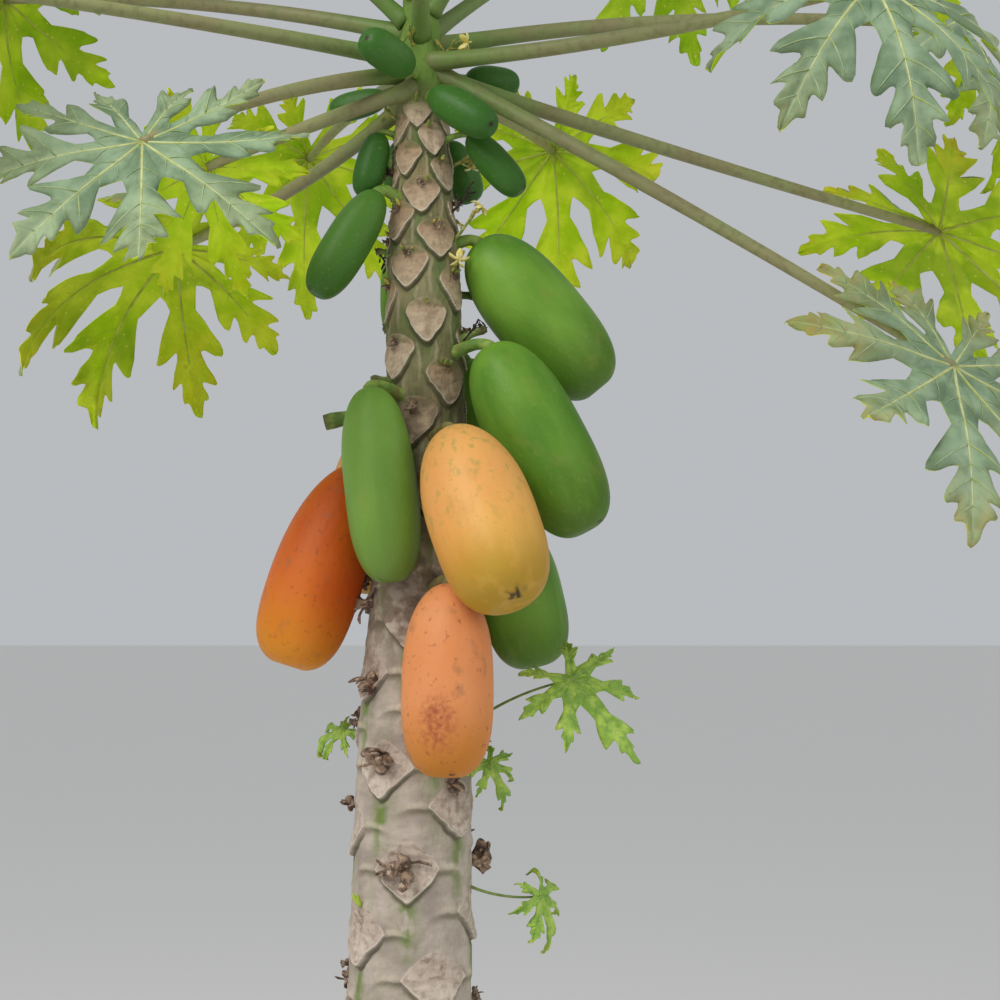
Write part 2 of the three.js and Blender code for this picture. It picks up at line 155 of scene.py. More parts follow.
def bark_relief(angle, height, jog, scars):
    """How far the bark stands out, and its edge, low, ridge, groove, heart, tone and moss."""
    radius = trunk_radius(height)
    old = 1 - smooth(*YOUNG_BARK, height)
    nearest, scar_lift, inside, low, heart, tone = NO_SCAR, 0.0, 0.0, 0.0, 0.0, 0.5
    groove, ridge, moss = 0.0, 0.0, 0.0
    for scar in scars:
        turn = (angle - scar["heading"] + math.pi) % math.tau - math.pi
        across = max(abs(turn) * radius / scar["width"] + jog, 0)
        rise = height - scar["shoulder"] - jog * 0.3 * scar["below"]
        if RIDGE_FROM < across < RIDGE_TO:
            out = (across - 1) / 1.2
            arch = radius * (0.10 * math.sin(math.pi * min(max(out, 0), 1)) - 0.22 * out)
            past = rise - arch
            fade = smooth(RIDGE_FROM, 1.05, across) * smooth(RIDGE_TO, 1.2, across) * old
            ridge = max(ridge, fade * bump(past, 0, 0.010 if past > 0 else 0.0035))
            groove = max(groove, fade * 0.8 * bump(past, -0.007, 0.005))
        up = rise / (scar["above"] if rise > 0 else scar["below"])
        if MOSS_FROM < up < MOSS_TO and across < 0.9:
            fade = smooth(MOSS_FROM, -1.5, up) * smooth(MOSS_TO, -1.1, up)
            moss = max(moss, bump(across, 0, mix(0.34, 0.26, old)) * fade)
            ridge = max(ridge, bump(across + jog, 0.46, 0.12) * fade * (1 - old))
        if across > SCAR_NEAR or abs(up) > SCAR_NEAR:
            continue
        power = scar["top"] if up > 0 else scar["sides"]
        edge = (math.hypot(across, BLUNT) ** power + abs(up) ** power) ** (1 / power)
        beside = smooth(0.55, -0.75, up)
        groove = max(groove, bump(edge, 1.12, 0.065) * beside)
        if edge < nearest:
            nearest = edge
            low = beside
            inside = smooth(1.04, 0.98, edge)
            heart = bump(across, 0, 0.42) * bump(up, 0.5, 0.4)
            tone = 0.45 * scar["tone"] + 0.55 * smooth(0.7, -0.9, up)
            scar_lift = inside * (0.0006 + scar["lift"] * low * (0.4 + 0.6 * edge))
            scar_lift += 0.0010 * bump(edge, 0.95, 0.05) * low - 0.0016 * bump(edge, 0, 0.6)
    bare = 1 - inside
    lift = scar_lift + (mix(0.0016, 0.0032, old) * ridge - 0.0024 * groove) * bare
    return lift, nearest, low, ridge * bare, groove * bare, heart * inside, tone, moss * bare


def rolled(bm, columns, rows, place):
    """A sheet rolled up into a tube. place moves a vertex, from its share round and its row."""
    made = bmesh.ops.create_grid(bm, x_segments=columns, y_segments=rows, size=0.5)["verts"]
    for vert in made:
        place(vert, vert.co.x + 0.5, round((vert.co.y + 0.5) * rows))
    return made


def placed(name, data, spot):
    """A new object of the scene, at a spot."""
    thing = bpy.data.objects.new(name, data)
    thing.location = spot
    bpy.context.scene.collection.objects.link(thing)
    return thing


def finished(name, bm, finishes, node=None):
    """Makes a mesh a piece: seams and poles closed, smooth, and riding with the tree."""
    bmesh.ops.remove_doubles(bm, verts=bm.verts, dist=1e-6)
    bmesh.ops.dissolve_degenerate(bm, dist=1e-7, edges=bm.edges)
    bmesh.ops.recalc_face_normals(bm, faces=bm.faces)
    for face in bm.faces:
        face.smooth = True
    mesh = bpy.data.meshes.new(name)
    bm.to_mesh(mesh)
    bm.free()
    for finish in finishes:
        mesh.materials.append(finish)
    piece = placed(name, mesh, (0, 0, 0))
    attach(piece, "root")
    if node:
        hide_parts(node)


def colour(code):
    """A colour as the shader needs it, from its usual six-digit code."""
    shares = [int(code[i : i + 2], 16) / 255 for i in (1, 3, 5)]
    return [((c + 0.055) / 1.055) ** 2.4 if c > 0.04 else c / 12.92 for c in shares] + [1]


class Finish:
    """A material that is painted step by step. Each step gives a value for the next ones."""

    def __init__(self, name, roughness, **gloss):
        self.material = bpy.data.materials.new(name)
        self.material.use_nodes = True
        self.shader = self.material.node_tree.nodes["Principled BSDF"]
        self.place = None
        for key, value in {"Roughness": roughness, **gloss}.items():
            self.shader.inputs[key.replace("_", " ")].default_value = value

    def step(self, kind, result, inputs, **settings):
        node = self.material.node_tree.nodes.new("ShaderNode" + kind)
        for key, value in settings.items():
            setattr(node, key, value)
        for key, value in inputs.items():
            if isinstance(value, bpy.types.NodeSocket):
                self.material.node_tree.links.new(value, node.inputs[key])
            else:
                node.inputs[key].default_value = value
        return node.outputs[result]

    def held(self, name, result="Fac"):
        """What the mesh holds under a name, at each point."""
        return self.step("Attribute", result, {}, attribute_name=name)

    def cloud(self, scale, detail=3, stretch=(1, 1, 1)):
        """Soft noise from 0 to 1, over the piece's own place unless another is set."""
        where = self.place or self.step("TexCoord", "Object", {})
        drawn = self.step("Mapping", "Vector", {"Vector": where, "Scale": stretch})
        return self.step("TexNoise", "Fac", {"Vector": drawn, "Scale": scale, "Detail": detail})

    def patches(self, scale, detail, start, end, stretch=(1, 1, 1)):
        """Patches with soft edges: 0 where the noise is at start or less, 1 at end or more."""
        return self.spread(self.cloud(scale, detail, stretch), start, end)

    def spots(self, scale, size):
        """1 in small round spots, 0 between them."""
        where = self.step("TexCoord", "Object", {})
        apart = self.step("TexVoronoi", "Distance", {"Vector": where, "Scale": scale})
        return self.spread(apart, size, size * 0.5)

    def spread(self, value, start, end, least=0.0):
        """The least where a value is at start or before it, 1 at end or after it."""
        limits = {"Value": value, "From Min": start, "From Max": end, "To Min": least}
        return self.step("MapRange", "Result", limits, interpolation_type="SMOOTHSTEP")

    def times(self, value, *others):
        for other in others:
            value = self.step("Math", 0, {0: value, 1: other}, operation="MULTIPLY")
        return value

    def plus(self, value, other):
        return self.step("Math", 0, {0: value, 1: other}, operation="ADD")

    def over(self, under, *coats):
        """A colour with coats laid over it: each is one or more shares to multiply, and a colour."""
        for share, *others, top in coats:
            under, top = (colour(c) if isinstance(c, str) else c for c in (under, top))
            colours = {0: self.times(share, *others), 6: under, 7: top}
            under = self.step("Mix", 2, colours, data_type="RGBA", clamp_factor=True)
        return under

    def painted(self, shade, relief=None, depth=0.0):
        """The material with its colour, and fine relief too small for the mesh, depth metres deep."""
        links = self.material.node_tree.links
        links.new(shade, self.shader.inputs["Base Color"])
        if relief is not None:
            bumps = {"Height": relief, "Distance": depth, "Strength": 1.0}
            links.new(self.step("Bump", "Normal", bumps), self.shader.inputs["Normal"])
        return self.material


def bark_finish():
    finish = Finish("bark", 0.85)
    edge, low, young, groove, moss = map(finish.held, ("edge", "low", "young", "groove", "moss"))
    ridge, heart, tone = map(finish.held, ("ridge", "heart", "tone"))
    patches = finish.patches(16, 4, 0.35, 0.68)
    streaks = finish.patches(36, 5, 0.45, 0.66, (1, 1, 0.25))
    strands = finish.patches(120, 4, 0.48, 0.66, (1, 1, 0.16))
    layers = finish.patches(52, 6, 0.42, 0.66, (0.8, 0.8, 2))
    flecks = finish.patches(85, 6, 0.50, 0.66, (1, 1, 1.4))
    ragged = finish.patches(60, 4, 0.34, 0.56, (1, 1, 0.5))

    # Old grey bark and young green bark. The darker colour in their grooves is painted shade.
    grey = finish.over(
        "#a4978c", (patches, "#c8baad"), (streaks, 0.35, "#9a9b78"), (layers, 0.25, "#8d7f73"),
        (groove, 0.75, "#5f5a3e"), (moss, ragged, "#6f8440"),
    )
    green = finish.over(
        "#6c6b43", (patches, "#938b66"), (moss, 0.8, "#5a7239"), (streaks, 0.6, "#9a8767"),
        (strands, 0.35, "#5a5636"), (groove, 0.8, "#3d4326"),
    )
    ridge = finish.times(finish.spread(ridge, 0.35, 0.85), finish.spread(young, 1, 0, 0.4))
    bark = finish.over(grey, (young, green), (ridge, 0.5, "#d3c6ae"))

    worn = finish.over("#b5a497", (tone, "#dccebf"))
    tan = finish.over("#9f8262", (tone, "#d2bea4"))
    scar = finish.over(
        worn, (young, tan), (layers, 0.35, "#8a7261"), (strands, 0.3, "#8f735c"),
        (flecks, 0.35, "#7c5c47"), (heart, finish.spread(young, 0, 1, 0.4), flecks, "#4a3428"),
    )
    frayed = finish.plus(low, finish.times(finish.cloud(70, 4), 0.4))
    frayed = finish.spread(frayed, 0.16, 0.32, finish.spread(young, 1, 0, 0.15))
    lip = finish.times(
        finish.spread(edge, 0.90, 0.955), finish.spread(edge, 1.01, 0.965),
        finish.spread(low, 0, 0.6, 0.1),
    )
    # A dark band just below a scar's proud lower edge: a painted shadow.
    under = finish.times(finish.spread(edge, 0.99, 1.04), finish.spread(edge, 1.17, 1.08), low)
    height = finish.step("SeparateXYZ", "Z", {0: finish.step("TexCoord", "Object", {})})
    # A darker brown zone on the trunk where the fruit hang: partly stains on the bark, partly painted
    # shade from the fruit.
    stained_and_shaded = finish.times(finish.spread(height, 1.38, 1.52), finish.spread(height, 1.88, 1.76))
    shade = finish.over(
        bark, (finish.spread(edge, 1.02, 0.97), frayed, scar), (lip, 0.85, "#e4d9c8"),
        (under, 0.5, "#4a4430"), (stained_and_shaded, finish.patches(44, 6, 0.40, 0.58), 0.7, "#6e5d4a"),
        (finish.spread(height, 2.22, 2.29), "#6c8a3a"),
    )
    grain = finish.cloud(150, 6, (1, 1, 0.7))
    return finish.painted(shade, finish.plus(grain, finish.times(lip, 0.5)), 0.0030)


def make_trunk(name, low, high, columns, rows, finish):
    foot, top = max(low - SEAM_LAP, 0), min(high + SEAM_LAP, TRUNK_TOP)
    bm = bmesh.new()
    names = ("edge", "low", "ridge", "groove", "heart", "tone", "moss", "young")
    held = [bm.verts.layers.float.new(layer) for layer in names]
    last = rows + 2
    heights = [mix(foot, top, min(max((row - 1) / rows, 0), 1)) for row in range(last + 1)]
    near = [[s for s in SCARS if abs(z - s["shoulder"]) < 2.6 * s["below"]] for z in heights]

    def place(vert, turn, row):
        height = heights[row]
        angle = math.tau * (turn % 1)
        middle = trunk_point(0, height, 0)
        if row in (0, last):
            vert.co = middle
            return
        flute = FLUTE_DEPTH * math.cos(FLUTES * angle) * math.exp(-height / FLUTE_HEIGHT)
        spot = middle + level(angle) * trunk_radius(height) * (1 + flute)
        jog = 0.07 * noise.noise(spot * 34) + 0.04 * noise.noise(spot * 90)
        lift, *shown = bark_relief(angle, height, jog, near[row])
        ribbed = Vector((spot.x * 75, spot.y * 75, spot.z * 11))
        layered = Vector((spot.x * 45, spot.y * 45, spot.z * 120))
        knobs = 0.0018 * noise.noise(spot * 19) + 0.0009 * noise.noise(spot * 60)
        scarred = smooth(1.1, 0.95, shown[0])
        knobs += 0.0013 * mix(noise.noise(ribbed), noise.noise(layered), scarred)
        past = max(low - height, height - high)
        sunk = 0.001 + 0.006 * smooth(0, SEAM_LAP, past)
        vert.co = spot + level(angle) * (lift + knobs - sunk)
        for layer, value in zip(held, [*shown, smooth(*YOUNG_BARK, height)]):
            vert[layer] = value

    rolled(bm, columns, last, place)
    finished(name, bm, [finish], "trunk")


BARK = bark_finish()
for part in TRUNK_PARTS:
    make_trunk(*part, BARK)


# The dried flower stalks. Above each scar sits what is left of the flowers that grew there: a
# brown knot of curled, papery flakes and twisted threads, clinging to the bark. The ones that
# face the viewer are placed one by one.

STUBS = [  # the heading, the height, and how far the flakes reach
    (-163, 1.524, 0.040), (-143, 1.412, 0.030), (176, 1.354, 0.020), (-118, 1.308, 0.038),
    (-46, 1.270, 0.026), (174, 1.236, 0.024), (-98, 1.156, 0.042), (2, 1.158, 0.040),
    (-178, 1.012, 0.014), (-119, 0.962, 0.018),
]
DEAD_SPRAYS = [  # the heading, the height, the slope and the length
    (-24, 2.086, 28, 0.046), (-16, 1.898, 30, 0.046), (-166, 2.140, 20, 0.024), (60, 2.020, 20, 0.036),
    (150, 2.010, 25, 0.040),
]
PLACED_FROM, PLACED_TO = 0.93, 1.56  # where the front has only those placed one by one
STUBS_FROM, STUBS_TO = 0.25, 2.18
OLD_REACH = (0.018, 0.034)
YOUNG_REACH = (0.009, 0.017)
FLAKES = (5, 8)
FLAKE_WIDTH, THREAD_WIDTH = 0.24, 0.05  # of the reach
FLAKE_STEPS = 7
FLAKE_SHARES = (0.7, 0.9, 1.1, 1.25, 1.3, 1.15, 0.9, 0.5)
NO_STUB = 0.15  # the share of scars whose stub has fallen off


def tube(bm, points, thick, shares, sides, flat=1.0):
    """A closed limb along a line, a share of thick in radius at each point; flat thins it."""
    last = len(points) - 1
    ways = [
        (points[min(i + 1, last)] - points[max(i - 1, 0)]).normalized() for i in range(last + 1)
    ]
    sideways = ways[0].cross(UP)
    if sideways.length < 1e-3:
        sideways = Vector((1, 0, 0))

    def place(vert, turn, row):
        i = min(max(row - 1, 0), last)
        side = (sideways - ways[i] * sideways.dot(ways[i])).normalized()
        lift = side.cross(ways[i]) * flat
        angle = -math.tau * (turn % 1)
        radius = 0 if row in (0, last + 2) else thick * shares[i]
        vert.co = points[i] + (side * math.cos(angle) + lift * math.sin(angle)) * radius

    return rolled(bm, sides, last + 2, place)


def curled(start, way, axis, reach, turn, steps):
    """A line that sets off one way and turns evenly about an axis as it goes."""
    line = [start]
    for _ in range(steps):
        way = way.copy()
        way.rotate(Matrix.Rotation(turn / steps, 3, axis))
        line.append(line[-1] + way * (reach / steps))
    return line


def any_way(dealt):
    return Vector([dealt.uniform(-1, 1) for _ in range(3)]).normalized()


def slanted(heading, slope):
    return level(heading) * math.cos(slope) + UP * math.sin(slope)


def stem(heading, height, rise, length, turn, sunk=0.004):
    """The way that a stem sets off from inside the bark, and its curved line."""
    heading = math.radians(heading)
    way = slanted(heading, math.radians(rise))
    root = on_bark(heading, height, sunk)
    return way, curled(root, way, way.cross(UP).normalized(), length, turn, 8)


def hold(verts, layer, value):
    """The same value at each vertex, for the finish to read."""
    for vert in verts:
        vert[layer] = value


def mottled(name, roughness, dark, light, *drawn):
    """A finish in two shades, and its colour so far."""
    finish = Finish(name, roughness)
    return finish, finish.over(dark, (finish.patches(*drawn), light))


def dried_finish():
    finish, shade = mottled("dried_stalk", 0.9, "#56453c", "#a0856f", 90, 4, 0.38, 0.64)
    pale = finish.patches(160, 2, 0.54, 0.7)
    shade = finish.over(shade, (pale, 0.7, "#cfb8a0"), (finish.held("withered"), "#30271f"))
    return finish.painted(shade, finish.cloud(420, 2), 0.0008)


def stub_mesh(bm, heading, height, reach, dealt):
    """A round knot, the flakes that curl from it, and two threads."""
    out = level(heading)
    root = on_bark(heading, height)
    knot = [root - out * 0.006, root + out * 0.12 * reach, root + out * 0.26 * reach]
    tube(bm, knot, reach, (0.26, 0.22, 0.08), 8)
    for _ in range(dealt.randint(*FLAKES)):
        across = out.cross(UP) * dealt.uniform(-1, 1)
        way = (out * dealt.uniform(0.3, 0.9) + across + UP * dealt.uniform(-0.7, 0.7)).normalized()
        axis = (way.cross(out) + any_way(dealt) * 0.7).normalized()
        start = root + across * 0.15 * reach - out * 0.001
        length = reach * dealt.uniform(0.7, 1.25)
        line = curled(start, way, axis, length, dealt.uniform(1.6, 4.2), FLAKE_STEPS)
        wide = FLAKE_WIDTH * reach * dealt.uniform(0.6, 1.2)
        tube(bm, line, wide, FLAKE_SHARES, 6, dealt.uniform(0.2, 0.6))
    for _ in range(2):
        way = (out + any_way(dealt)).normalized()
        line = curled(root, way, any_way(dealt), reach * dealt.uniform(0.7, 1.2), 1.6, 5)
        tube(bm, line, THREAD_WIDTH * reach, (1.6, 1.2, 1, 1, 1.3, 0.6), 5)


bm = bmesh.new()
withered = bm.verts.layers.float.new("withered")
dealt = random.Random(5)
for *spot, length in DEAD_SPRAYS:  # thin, almost black stalks with short twigs that end in knobs
    way, line = stem(*spot, length, 0.6)
    made = tube(bm, line, 1, [0.0023 - 0.00016 * i for i in range(9)], 6)
    for start in line[2:] + line[4:]:
        side = (way + any_way(dealt) * 1.3).normalized()
        twig = curled(start, side, any_way(dealt), 0.015, 1.2, 4)
        made += tube(bm, twig, 1, (0.0008, 0.0007, 0.0007, 0.0017, 0.0010), 5)
    hold(made, withered, 1.0)
for heading, height, reach in STUBS:
    stub_mesh(bm, math.radians(heading), height, reach, dealt)
for scar in SCARS:
    height = scar["shoulder"] + 0.4 * scar["above"]
    behind = math.cos(scar["heading"] - FRONT) < -0.1
    if not STUBS_FROM < height < STUBS_TO or dealt.random() < NO_STUB:
        continue
    if behind or not PLACED_FROM < height < PLACED_TO:
        limits = YOUNG_REACH if height > YOUNG_BARK[1] else OLD_REACH
        stub_mesh(bm, scar["heading"], height, dealt.uniform(*limits), dealt)
finished("dried_flower_stalks", bm, [dried_finish()])


# The broken stalks. Where a fruit or a leaf came off, a short green stump of its stalk is left,
# brown and ragged at the break. It grows out of the bark above a scar. A thick one was cut clean.

BROKEN_STALKS = [  # the heading, the height, the slope, the length and the radius
    (178, 1.794, 6, 0.088, 0.0105), (-12, 1.900, 34, 0.040, 0.0060), (-150, 1.838, 20, 0.030, 0.0052),
    (-172, 2.028, 22, 0.020, 0.0045), (30, 1.972, 15, 0.036, 0.0060), (78, 2.050, 20, 0.028, 0.0050),
    (130, 1.930, 12, 0.040, 0.0065), (155, 1.650, 15, 0.030, 0.0060), (58, 1.640, 10, 0.026, 0.0060),
]
CUT_RADIUS = 0.009  # a thicker one was cut
BROKEN_ROOT = 0.008


def broken_finish():
    finish, shade = mottled("broken_stalk", 0.7, "#5d7a30", "#8a9a50", 80, 3, 0.38, 0.64)
    shade = finish.over(shade, (finish.held("dried"), "#5a4232"))
    return finish.painted(shade, finish.cloud(260, 3), 0.0012)


bm = bmesh.new()
dried = bm.verts.layers.float.new("dried")
dealt = random.Random(8)
for *spot, length, radius in BROKEN_STALKS:
    length += BROKEN_ROOT
    way, line = stem(*spot, length, -0.35, BROKEN_ROOT)
    cut = radius > CUT_RADIUS
    dry_from, dry_to = (0.975, 1.0) if cut else (0.60, 0.90)
    swell = (1.6, 1.35, 1.1, 1, 0.95, 0.95, 1.05, 1.15, 1.1 if cut else 0.8)
    for vert in tube(bm, line, radius, swell, 12):
        vert[dried] = 0.7 * smooth(dry_from, dry_to, (vert.co - line[0]).length / length)
    for _ in range(0 if cut else 4):
        end = (way + any_way(dealt) * 0.8).normalized()
        ragged = curled(line[-2], end, any_way(dealt), 1.6 * radius, 1.5, 3)
        hold(tube(bm, ragged, radius, (0.45, 0.4, 0.3, 0.15), 5, 0.6), dried, 1.0)
finished("broken_stalks", bm, [broken_finish()])


# The leaves of the crown. A papaya leaf is a long hollow stalk that widens into the trunk, and a
# blade of nine lobes round its end, each lobed again along its sides. The blade is bluish and
# waxy above, yellow-green below, with pale ribs. Below it is painted brighter than it is, with
# painted light as if the sun shone through it. Older leaves yellow from their tips.

LEAF = (  # a leaf's sizes: of its stalk from the foot, of its blade from the reach
    "foot", "round", "heading", "rise", "length", "sag",
    "reach", "pitch", "turn", "roll", "bend", "age",
)
OLD_LEAVES = [
    (2.252, 142, 142, -18, 0.505, -18, 0.360, 16, 42, -34, 45, 0.35),
    (2.262, -124, -164, -24, 0.315, 4, 0.208, 60, -30, -40, 45, 0.3),
    (2.272, 72, 72, 5, 0.640, 12, 0.300, 64, 0, 0, 45, 0.3),
    (2.289, -18, -18, -32, 0.852, 4, 0.300, 50, -76, 31, -16, 0.45),
    (2.292, 22, 9, -15, 0.786, -2, 0.350, 38, 4, 10, 10, 0.5),
    (2.290, -154, -136, -21, 0.476, 16, 0.258, 52, 56, -8, -14, 0.12),
    (2.308, -44, -36, -1, 0.690, -8, 0.290, 42, -38, 0, 45, 0.2),
    (2.302, 108, 108, 2, 0.700, 12, 0.300, 62, 0, 0, 45, 0.2),
    (2.315, -160, -152, 1, 0.720, 4, 0.300, 56, 0, 0, 45, 0.2),
    (2.338, 3, 3, 3, 0.770, 14, 0.300, 48, -22, 0, 45, 0.2),
    (2.359, 160, 160, 10, 0.690, 12, 0.300, 54, 0, 0, 45, 0.1),
]
YOUNG_LEAVES = 12  # they change evenly from the first to the last, a golden angle apart
LAST_HEADING = -88 + 137.5 * (YOUNG_LEAVES - 1)
FIRST_YOUNG = (2.352, -88, -88, 26, 0.640, 12, 0.290, 46, 0, 0, 45, 0)
LAST_YOUNG = (2.495, LAST_HEADING, LAST_HEADING, 80, 0.310, 12, 0.130, -60, 0, 0, 26, 0)
OLD_STALK_RADII = {"foot": 0.0125, "end": 0.007}
YOUNG_STALK_RADII = {"foot": 0.007, "end": 0.004}
STALK_STEPS = 26
STALK_SIDES = 14
STALK_ROOT = 0.35  # how deep a stalk sits in the trunk, as a share of the trunk's radius

# The lobes from the middle one round to the back: the angle of each rib and its share of the reach.
LOBES = [(0, 1), (40, 0.96), (80, 0.86), (118, 0.72), (153, 0.54)]
WEB = 0.3
BACK_WEB = 0.08
FORK = 0.6
LOBE_ROOM = 0.95
SIDE_VEIN = math.radians(44)
# The margin of a lobe: places along its rib, and the length of the side vein from there to the
# edge, both as shares of the lobe. Notches and side lobes take turns, with small teeth between.
LONG_MARGIN = [
    (0.330, 0.105), (0.355, 0.150), (0.385, 0.200), (0.415, 0.240), (0.445, 0.264),
    (0.475, 0.274), (0.500, 0.268), (0.520, 0.243), (0.535, 0.200), (0.548, 0.150),
    (0.562, 0.112), (0.580, 0.098), (0.605, 0.116), (0.630, 0.150), (0.655, 0.178),
    (0.680, 0.190), (0.700, 0.182), (0.715, 0.152), (0.728, 0.116), (0.745, 0.088),
    (0.770, 0.092), (0.795, 0.112), (0.818, 0.120), (0.838, 0.108), (0.855, 0.082),
    (0.875, 0.064), (0.905, 0.056), (0.940, 0.045), (0.970, 0.032), (1.0, 0.0),
]
SHORT_MARGIN = [
    (0.360, 0.125), (0.400, 0.170), (0.440, 0.208), (0.480, 0.236), (0.520, 0.250),
    (0.550, 0.244), (0.575, 0.212), (0.595, 0.160), (0.615, 0.116), (0.640, 0.098),
    (0.675, 0.112), (0.710, 0.134), (0.740, 0.136), (0.765, 0.112), (0.790, 0.084),
    (0.840, 0.068), (0.900, 0.052), (0.950, 0.036), (1.0, 0.0),
]
LONG_LOBE = 0.150
WEB_ROWS = 4
HALF_COLUMNS = 4
BLADE_THICKNESS = 0.0012
RIB_RADIUS = 0.0029
SIDE_VEIN_RADIUS = 0.0009
SHORTEST_VEIN = 0.012
VEIN_SHARES = (0.0, 0.25, 0.5, 0.72, 0.9)  # of the way from the rib to the margin
SIDE_VEINS = [(0.20, 0.9), (0.34, 0.9), (0.50, 1.5), (0.61, 0.8), (0.69, 1.3), (0.82, 1.0)]


def stalk_line(leaf):
    """The points of a stalk that sags evenly along its length, from inside the trunk."""
    heading, radius = math.radians(leaf["heading"]), trunk_radius(leaf["foot"])

    def way(share):
        return slanted(heading, math.radians(leaf["rise"] + leaf["sag"] * (0.5 - share)))

    skin = trunk_point(math.radians(leaf["round"]), leaf["foot"], radius)
    points = [skin - way(0) * STALK_ROOT * radius, skin]
    for i in range(STALK_STEPS):
        points.append(points[-1] + way((i + 0.5) / STALK_STEPS) * (leaf["length"] / STALK_STEPS))
    return points


def polar(angle, radius):
    return Vector((math.cos(angle), math.sin(angle))) * radius


class Blade:
    """The surface of one blade: where its lobes, margins and folds lie."""

    def __init__(self, foot, leaf, lobes, seed):
        facing = level(math.radians(leaf["heading"] + leaf["turn"]))
        pitch = math.radians(leaf["pitch"])
        self.ahead = facing * math.cos(pitch) - UP * math.sin(pitch)
        self.normal = facing * math.sin(pitch) + UP * math.cos(pitch)
        self.normal.rotate(Matrix.Rotation(-math.radians(leaf["roll"]), 3, self.ahead))
        self.left = self.normal.cross(self.ahead)
        self.foot, self.bend = foot, math.radians(leaf["bend"])
        self.reach = reach = leaf["reach"]
        self.lobes = []
        dealt = random.Random(seed)
        ribs = [(-angle, share) for angle, share in lobes[:0:-1]] + lobes
        for i, (angle, share) in enumerate(ribs):
            lobe = {"angle": math.radians(angle), "reach": share * reach, "sides": {}}
            lobe["fork"] = FORK * reach * share * WEB
            for hand in (1, -1):
                j = i + hand
                back = not 0 <= j < len(ribs)
                beside, other = (ribs[0] if hand > 0 else ribs[-1]) if back else ribs[j]
                gap = abs(beside - angle) % 360
                gap = math.radians(360 - gap if back else gap) / 2
                web = reach * (BACK_WEB if back else WEB * (share + other) / 2)
                lobe["sides"][hand] = self.side(lobe, hand, gap, web, dealt)
            lobe["droop"] = dealt.uniform(-0.05, 0.45)
            lobe["twist"] = dealt.uniform(-0.55, 0.55)
            lobe["fold"] = dealt.uniform(0.10, 0.55)
            lobe["wave"] = dealt.uniform(0, math.tau)
            lobe["age"] = dealt.random()
            self.lobes.append(lobe)

    def side(self, lobe, hand, gap, web, dealt):
        """One side of a lobe: the web point that it starts from and its margin."""
        lobe["fork"] = min(lobe["fork"], FORK * web) if web < 0.1 * self.reach else lobe["fork"]
        corner = polar(lobe["angle"] + hand * gap, web)
        margin = []
        wide = dealt.uniform(0.9, 1.08)
        slip = dealt.uniform(-0.018, 0.018)
        for place, length in LONG_MARGIN if lobe["reach"] > LONG_LOBE else SHORT_MARGIN:
            place = min(place + slip, 1.0) if place < 1 else place
            start = place * lobe["reach"]
            length = length * lobe["reach"] * wide * dealt.uniform(0.93, 1.07)
            if gap < SIDE_VEIN:
                room = LOBE_ROOM * start * math.sin(gap) / math.sin(SIDE_VEIN - gap)
                length = min(length, room)
            margin.append((start, length))
        return {"corner": corner, "margin": margin}

    def flat(self, lobe, along, hand, share):
        """The flat place at a distance along a rib, and a share of the way to the margin."""
        side = lobe["sides"][hand]
        fork = lobe["fork"]
        if along <= fork:
            edge = polar(lobe["angle"], fork).lerp(side["corner"], share)
            return edge * (along / fork)
        rib = polar(lobe["angle"], along)
        first, length = side["margin"][0]
        aside = polar(lobe["angle"] + hand * SIDE_VEIN, 1)
        if along < first:
            part = (along - fork) / (first - fork)
            gone = side["corner"] - polar(lobe["angle"], fork)
            reached = mix(gone.length, length, part**0.7)
            aside = gone.normalized().lerp(aside, part).normalized()
        else:
            reached = between(side["margin"], along)
        return rib + aside * (reached * share)

    def at(self, lobe, along, hand, share):
        """A point of the blade's surface, folded, waved and bent down."""
        flat = self.flat(lobe, along, hand, share)
        way = polar(lobe["angle"], 1)
        off = abs(way.x * flat.y - way.y * flat.x)
        free = smooth(lobe["fork"], lobe["fork"] + 0.3 * lobe["reach"], along)
        part = along / lobe["reach"]
        lift = off * (mix(0.24, lobe["fold"], free) - 0.36 * share)
        lift += 0.0020 * math.sin(math.pi * share) * abs(math.sin(math.pi * part / 0.09))
        wave = math.sin(math.tau * along / 0.085 + lobe["wave"] + hand)
        lift += free * (0.0050 * share * share * wave + hand * off * lobe["twist"] * part)
        lift -= free * lobe["droop"] * lobe["reach"] * max(part - 0.3, 0) ** 2
        return self.put(flat, lift)

    def put(self, flat, lift):
        radius = flat.length
        slope = self.bend * radius / self.reach
        if abs(slope) < 1e-6:
            return self.foot + self.normal * lift
        out = flat / radius
        run = math.sin(slope) / slope * radius + lift * math.sin(slope)
        drop = (1 - math.cos(slope)) / slope * radius
        spot = self.foot + self.ahead * (out.x * run) + self.left * (out.y * run)
        return spot + self.normal * (lift * math.cos(slope) - drop)

    def rows(self, lobe):
        """The distances along a rib at which the blade has a row of points."""
        fork = lobe["fork"]
        margins = lobe["sides"][1]["margin"] + lobe["sides"][-1]["margin"]
        marks = sorted([fork] + [along for along, _ in margins])
        rows = [fork * i / WEB_ROWS for i in range(WEB_ROWS + 1)]
        least = 0.018 * lobe["reach"]
        for a, b in zip(marks, marks[1:]):
            if b - a > 2.5 * least:
                rows.append((a + b) / 2)
            if b - rows[-1] > 0.3 * least:
                rows.append(b)
        return rows


